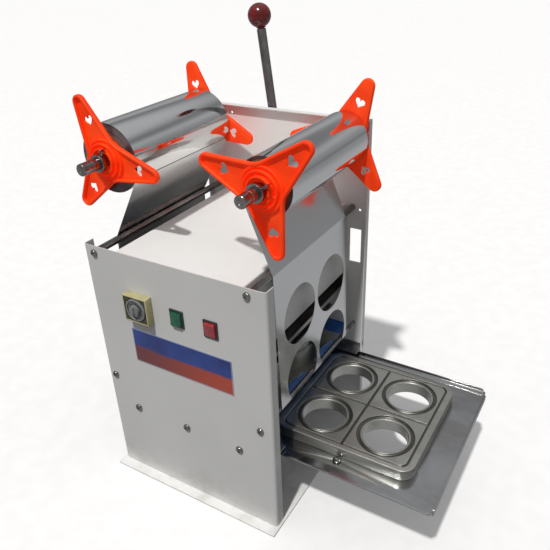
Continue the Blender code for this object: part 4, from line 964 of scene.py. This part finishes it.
def make_switch(name):
    low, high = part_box(f"switch_bezel_{name}")
    x, z = (low.x + high.x) / 2, (low.z + high.z) / 2
    place = at(x, PANEL_FRONT - GAP, z) @ FACING_FRONT
    well = rounded_rectangle(*SWITCH_WELL, 0.0006, steps=3)
    loops = [rounded_rectangle(*BEZEL_HALF, 0.0012, steps=4), well]
    bezel = plate(f"rocker_frame_{name}", loops, 0.0, 0.0020, place, 0.0006, 3)
    case = plate("case", [rounded_rectangle(*SWITCH_BODY, 0.0005, steps=2)], -0.026, 0.0010, place, 0.0002)
    inside = plate("inside", [well], -0.0136, 0.006, place)
    case = combine(case, [inside])
    dress(combine(bezel, [case], "UNION"), f"switch_bezel_{name}")
    edge, middle = ROCKER_FACE
    tip = math.degrees(math.acos(-edge / ROCKER_RADIUS))
    loop = [(-middle, 0.0)] + arc((0, 0), ROCKER_RADIUS, tip, -tip, 40)
    tilted = at(x, ROCKER_AXIS_Y, z) @ Matrix.Rotation(math.radians(ROCKER_TILT[name]), 4, "X") @ FACING_RIGHT
    half = SWITCH_WELL[0] - 0.0004
    rocker = plate(f"rocker_key_{name}", [rounded(loop, 0.0008, 3, True)], -half, half, tilted, 0.0006, 3)
    dress(rocker, f"switch_rocker_{name}")


# ---------------------------------------------------------------------------
# Inside: die plate, heads and springs
# ---------------------------------------------------------------------------
def make_die_plate():
    half, top, radius = DIE_HALF, DIE_MIDDLE_Z, 0.004
    path = [(half, DIE_SKIRT)] + arc((half - radius, top - radius), radius, 0, 90, 8)
    path += arc((-half + radius, top - radius), radius, 90, 180, 8) + [(-half, DIE_SKIRT)]
    low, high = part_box("die_plate")
    die = folded("blue_die_plate", path, (-high.y, -low.y), 0.003, FACING_FRONT)
    tools = [plate("hole", [circle(place, DIE_HOLE)], 0.18, 0.22) for place in cup_places(0.0).values()]
    dress(combine(die, tools), "die_plate")


def make_heads():
    body, rim = HEAD_RADIUS, CUTTER_RADIUS
    for name, (x, y) in cup_places(0.0).items():
        low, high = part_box(f"sealing_head_{name}")
        height = high.z - low.z
        profile = [(0.0, height), (body, height), (body, 0.014), (rim, 0.012), (rim, 0.0), (rim - 0.002, 0.0),
                   (body, 0.003), (0.0, 0.003)]
        head = lathe(f"heated_head_{name}", rounded(profile, 0.0006, 2), at(x, y, low.z), 96)
        dress(head, f"sealing_head_{name}")


def make_springs():
    wire, coil, turns, steps, ring = 0.0011, 0.0092, 7, 28, 10
    low = BRIDGE_TOP + GAP + wire
    high = POST_TOP - POST_CAP - GAP - wire
    for side, name in ((-1, "left"), (1, "right")):
        bm = bmesh.new()
        rings = []
        for i in range(turns * steps + 1):
            angle = 2 * math.pi * i / steps
            z = low + (high - low) * i / (turns * steps)
            spoke = Vector((math.cos(angle), math.sin(angle), 0.0))
            rings.append([bm.verts.new(Vector((0, 0, z)) + spoke * (coil + wire * math.cos(b))
                                       + Vector((0, 0, wire * math.sin(b))))
                          for b in [2 * math.pi * k / ring for k in range(ring)]])
        for a, b in zip(rings, rings[1:]):
            for k in range(ring):
                bm.faces.new((a[k], a[(k + 1) % ring], b[(k + 1) % ring], b[k]))
        bm.faces.new(rings[0])
        bm.faces.new(rings[-1])
        spring = from_bmesh(f"coil_spring_{name}", bm, at(side * POST_X, CENTRE_Y, 0))
        dress(spring, f"return_spring_{name}")
        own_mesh(spring)


for roll_name in ROLL_X:
    make_roll(roll_name)
make_film_web()
make_mould()
make_tray()
make_screws()
make_rods()
make_lever()
make_thermostat()
for switch_name in ("green", "red"):
    make_switch(switch_name)
make_die_plate()
make_heads()
make_springs()


# ---------------------------------------------------------------------------
# Floor, light and camera
# ---------------------------------------------------------------------------
SUN_STRENGTH = 2.6
SUN_TOWARDS = (0.06, -0.54, 1.0)
# Brightness by height of the direction: what lights matt surfaces, and what shiny ones mirror
SKY_LIGHT = ((0.0, 0.12), (0.45, 0.14), (0.52, 0.16), (0.70, 0.34), (1.0, 0.46))
SKY_REFLECTED = ((0.0, 0.36), (0.30, 0.44), (0.47, 0.30), (0.52, 0.22), (0.58, 0.30), (0.68, 0.42),
                 (0.76, 0.22), (0.86, 0.50), (1.0, 0.62))
BACKDROP = 0.97
CAMERA_PLACE = (0.5563, -0.7601, 0.8871)
CAMERA_TURNS = (2.0787, -0.0355, -0.5374)   # about X, Y and Z, in radians
SENSOR_WIDTH = 36.0
FOCAL_LENGTH = 40.5234


def make_stage():
    floor_loop = circle((0.0, 0.0), 60.0, 64)
    floor = plate("studio_floor", [floor_loop], -0.02, 0.0, at(0, 0, -0.0002))
    surface = Finish("studio_paper", (0.86, 0.86, 0.86), 0.9, Emission_Color=(1.0, 1.0, 1.0, 1.0),
                     Emission_Strength=0.10)
    grain = surface.noise(30.0, 3.0)
    tone = surface.blend(surface.span(grain, 0.3, 0.7), (0.82, 0.82, 0.82), (0.79, 0.79, 0.79))
    floor.data.materials.append(surface.finish(tone))
    floor.visible_diffuse = False
    floor.visible_glossy = False


def brightness_ramp(tree, height, shades):
    """Grey that changes with the height of a direction, 0 straight down to 1 straight up."""
    ramp = tree.nodes.new("ShaderNodeValToRGB")
    ramp.color_ramp.interpolation = "EASE"
    elements = ramp.color_ramp.elements
    while len(elements) < len(shades):
        elements.new(0.5)
    for element, (position, value) in zip(elements, shades):
        element.position = position
        element.color = (value, value, value * 1.02, 1.0)
    tree.links.new(height, ramp.inputs["Fac"])
    return ramp.outputs["Color"]


def make_world():
    """Soft light from above, a yard with a dark skyline for the reflections, and a pale backdrop."""
    world = bpy.data.worlds.new("studio")
    bpy.context.scene.world = world
    world.use_nodes = True
    tree = world.node_tree
    place = tree.nodes.new("ShaderNodeTexCoord")
    parts = tree.nodes.new("ShaderNodeSeparateXYZ")
    tree.links.new(place.outputs["Generated"], parts.inputs[0])
    half = tree.nodes.new("ShaderNodeMath")
    half.operation = "MULTIPLY_ADD"
    half.inputs[1].default_value = 0.5
    half.inputs[2].default_value = 0.5
    tree.links.new(parts.outputs["Z"], half.inputs[0])
    light = brightness_ramp(tree, half.outputs[0], SKY_LIGHT)
    seen = brightness_ramp(tree, half.outputs[0], SKY_REFLECTED)
    path = tree.nodes.new("ShaderNodeLightPath")
    for ray, colour in (("Is Glossy Ray", seen), ("Is Camera Ray", None)):
        mix = tree.nodes.new("ShaderNodeMix")
        mix.data_type = "RGBA"
        tree.links.new(path.outputs[ray], mix.inputs["Factor"])
        tree.links.new(light, mix.inputs[6])
        mix.inputs[7].default_value = (BACKDROP, BACKDROP, BACKDROP, 1.0)
        if colour:
            tree.links.new(colour, mix.inputs[7])
        light = mix.outputs[2]
    tree.links.new(light, tree.nodes["Background"].inputs["Color"])


def make_sun():
    sun = bpy.data.lights.new("key", "SUN")
    sun.energy = SUN_STRENGTH
    sun.angle = math.radians(2.5)
    sun.color = (1.0, 0.985, 0.96)
    lamp = bpy.data.objects.new("key", sun)
    bpy.context.scene.collection.objects.link(lamp)
    towards = Vector(SUN_TOWARDS).normalized()
    lamp.rotation_mode = "QUATERNION"
    lamp.rotation_quaternion = towards.to_track_quat("Z", "Y")


def make_camera():
    world_to_view = Matrix.Identity(3)
    for angle, axis in zip(CAMERA_TURNS, "XYZ"):
        world_to_view = world_to_view @ Matrix.Rotation(angle, 3, axis)
    right, down, ahead = world_to_view[0], world_to_view[1], world_to_view[2]
    axes = Matrix((right, -down, -ahead)).transposed().to_4x4()
    data = bpy.data.cameras.new("camera")
    data.sensor_width = SENSOR_WIDTH
    data.lens = FOCAL_LENGTH
    camera = bpy.data.objects.new("camera", data)
    bpy.context.scene.collection.objects.link(camera)
    camera.matrix_world = Matrix.Translation(CAMERA_PLACE) @ axes
    bpy.context.scene.camera = camera


make_stage()
make_world()
make_sun()
make_camera()
bpy.context.scene.view_settings.view_transform = "Standard"
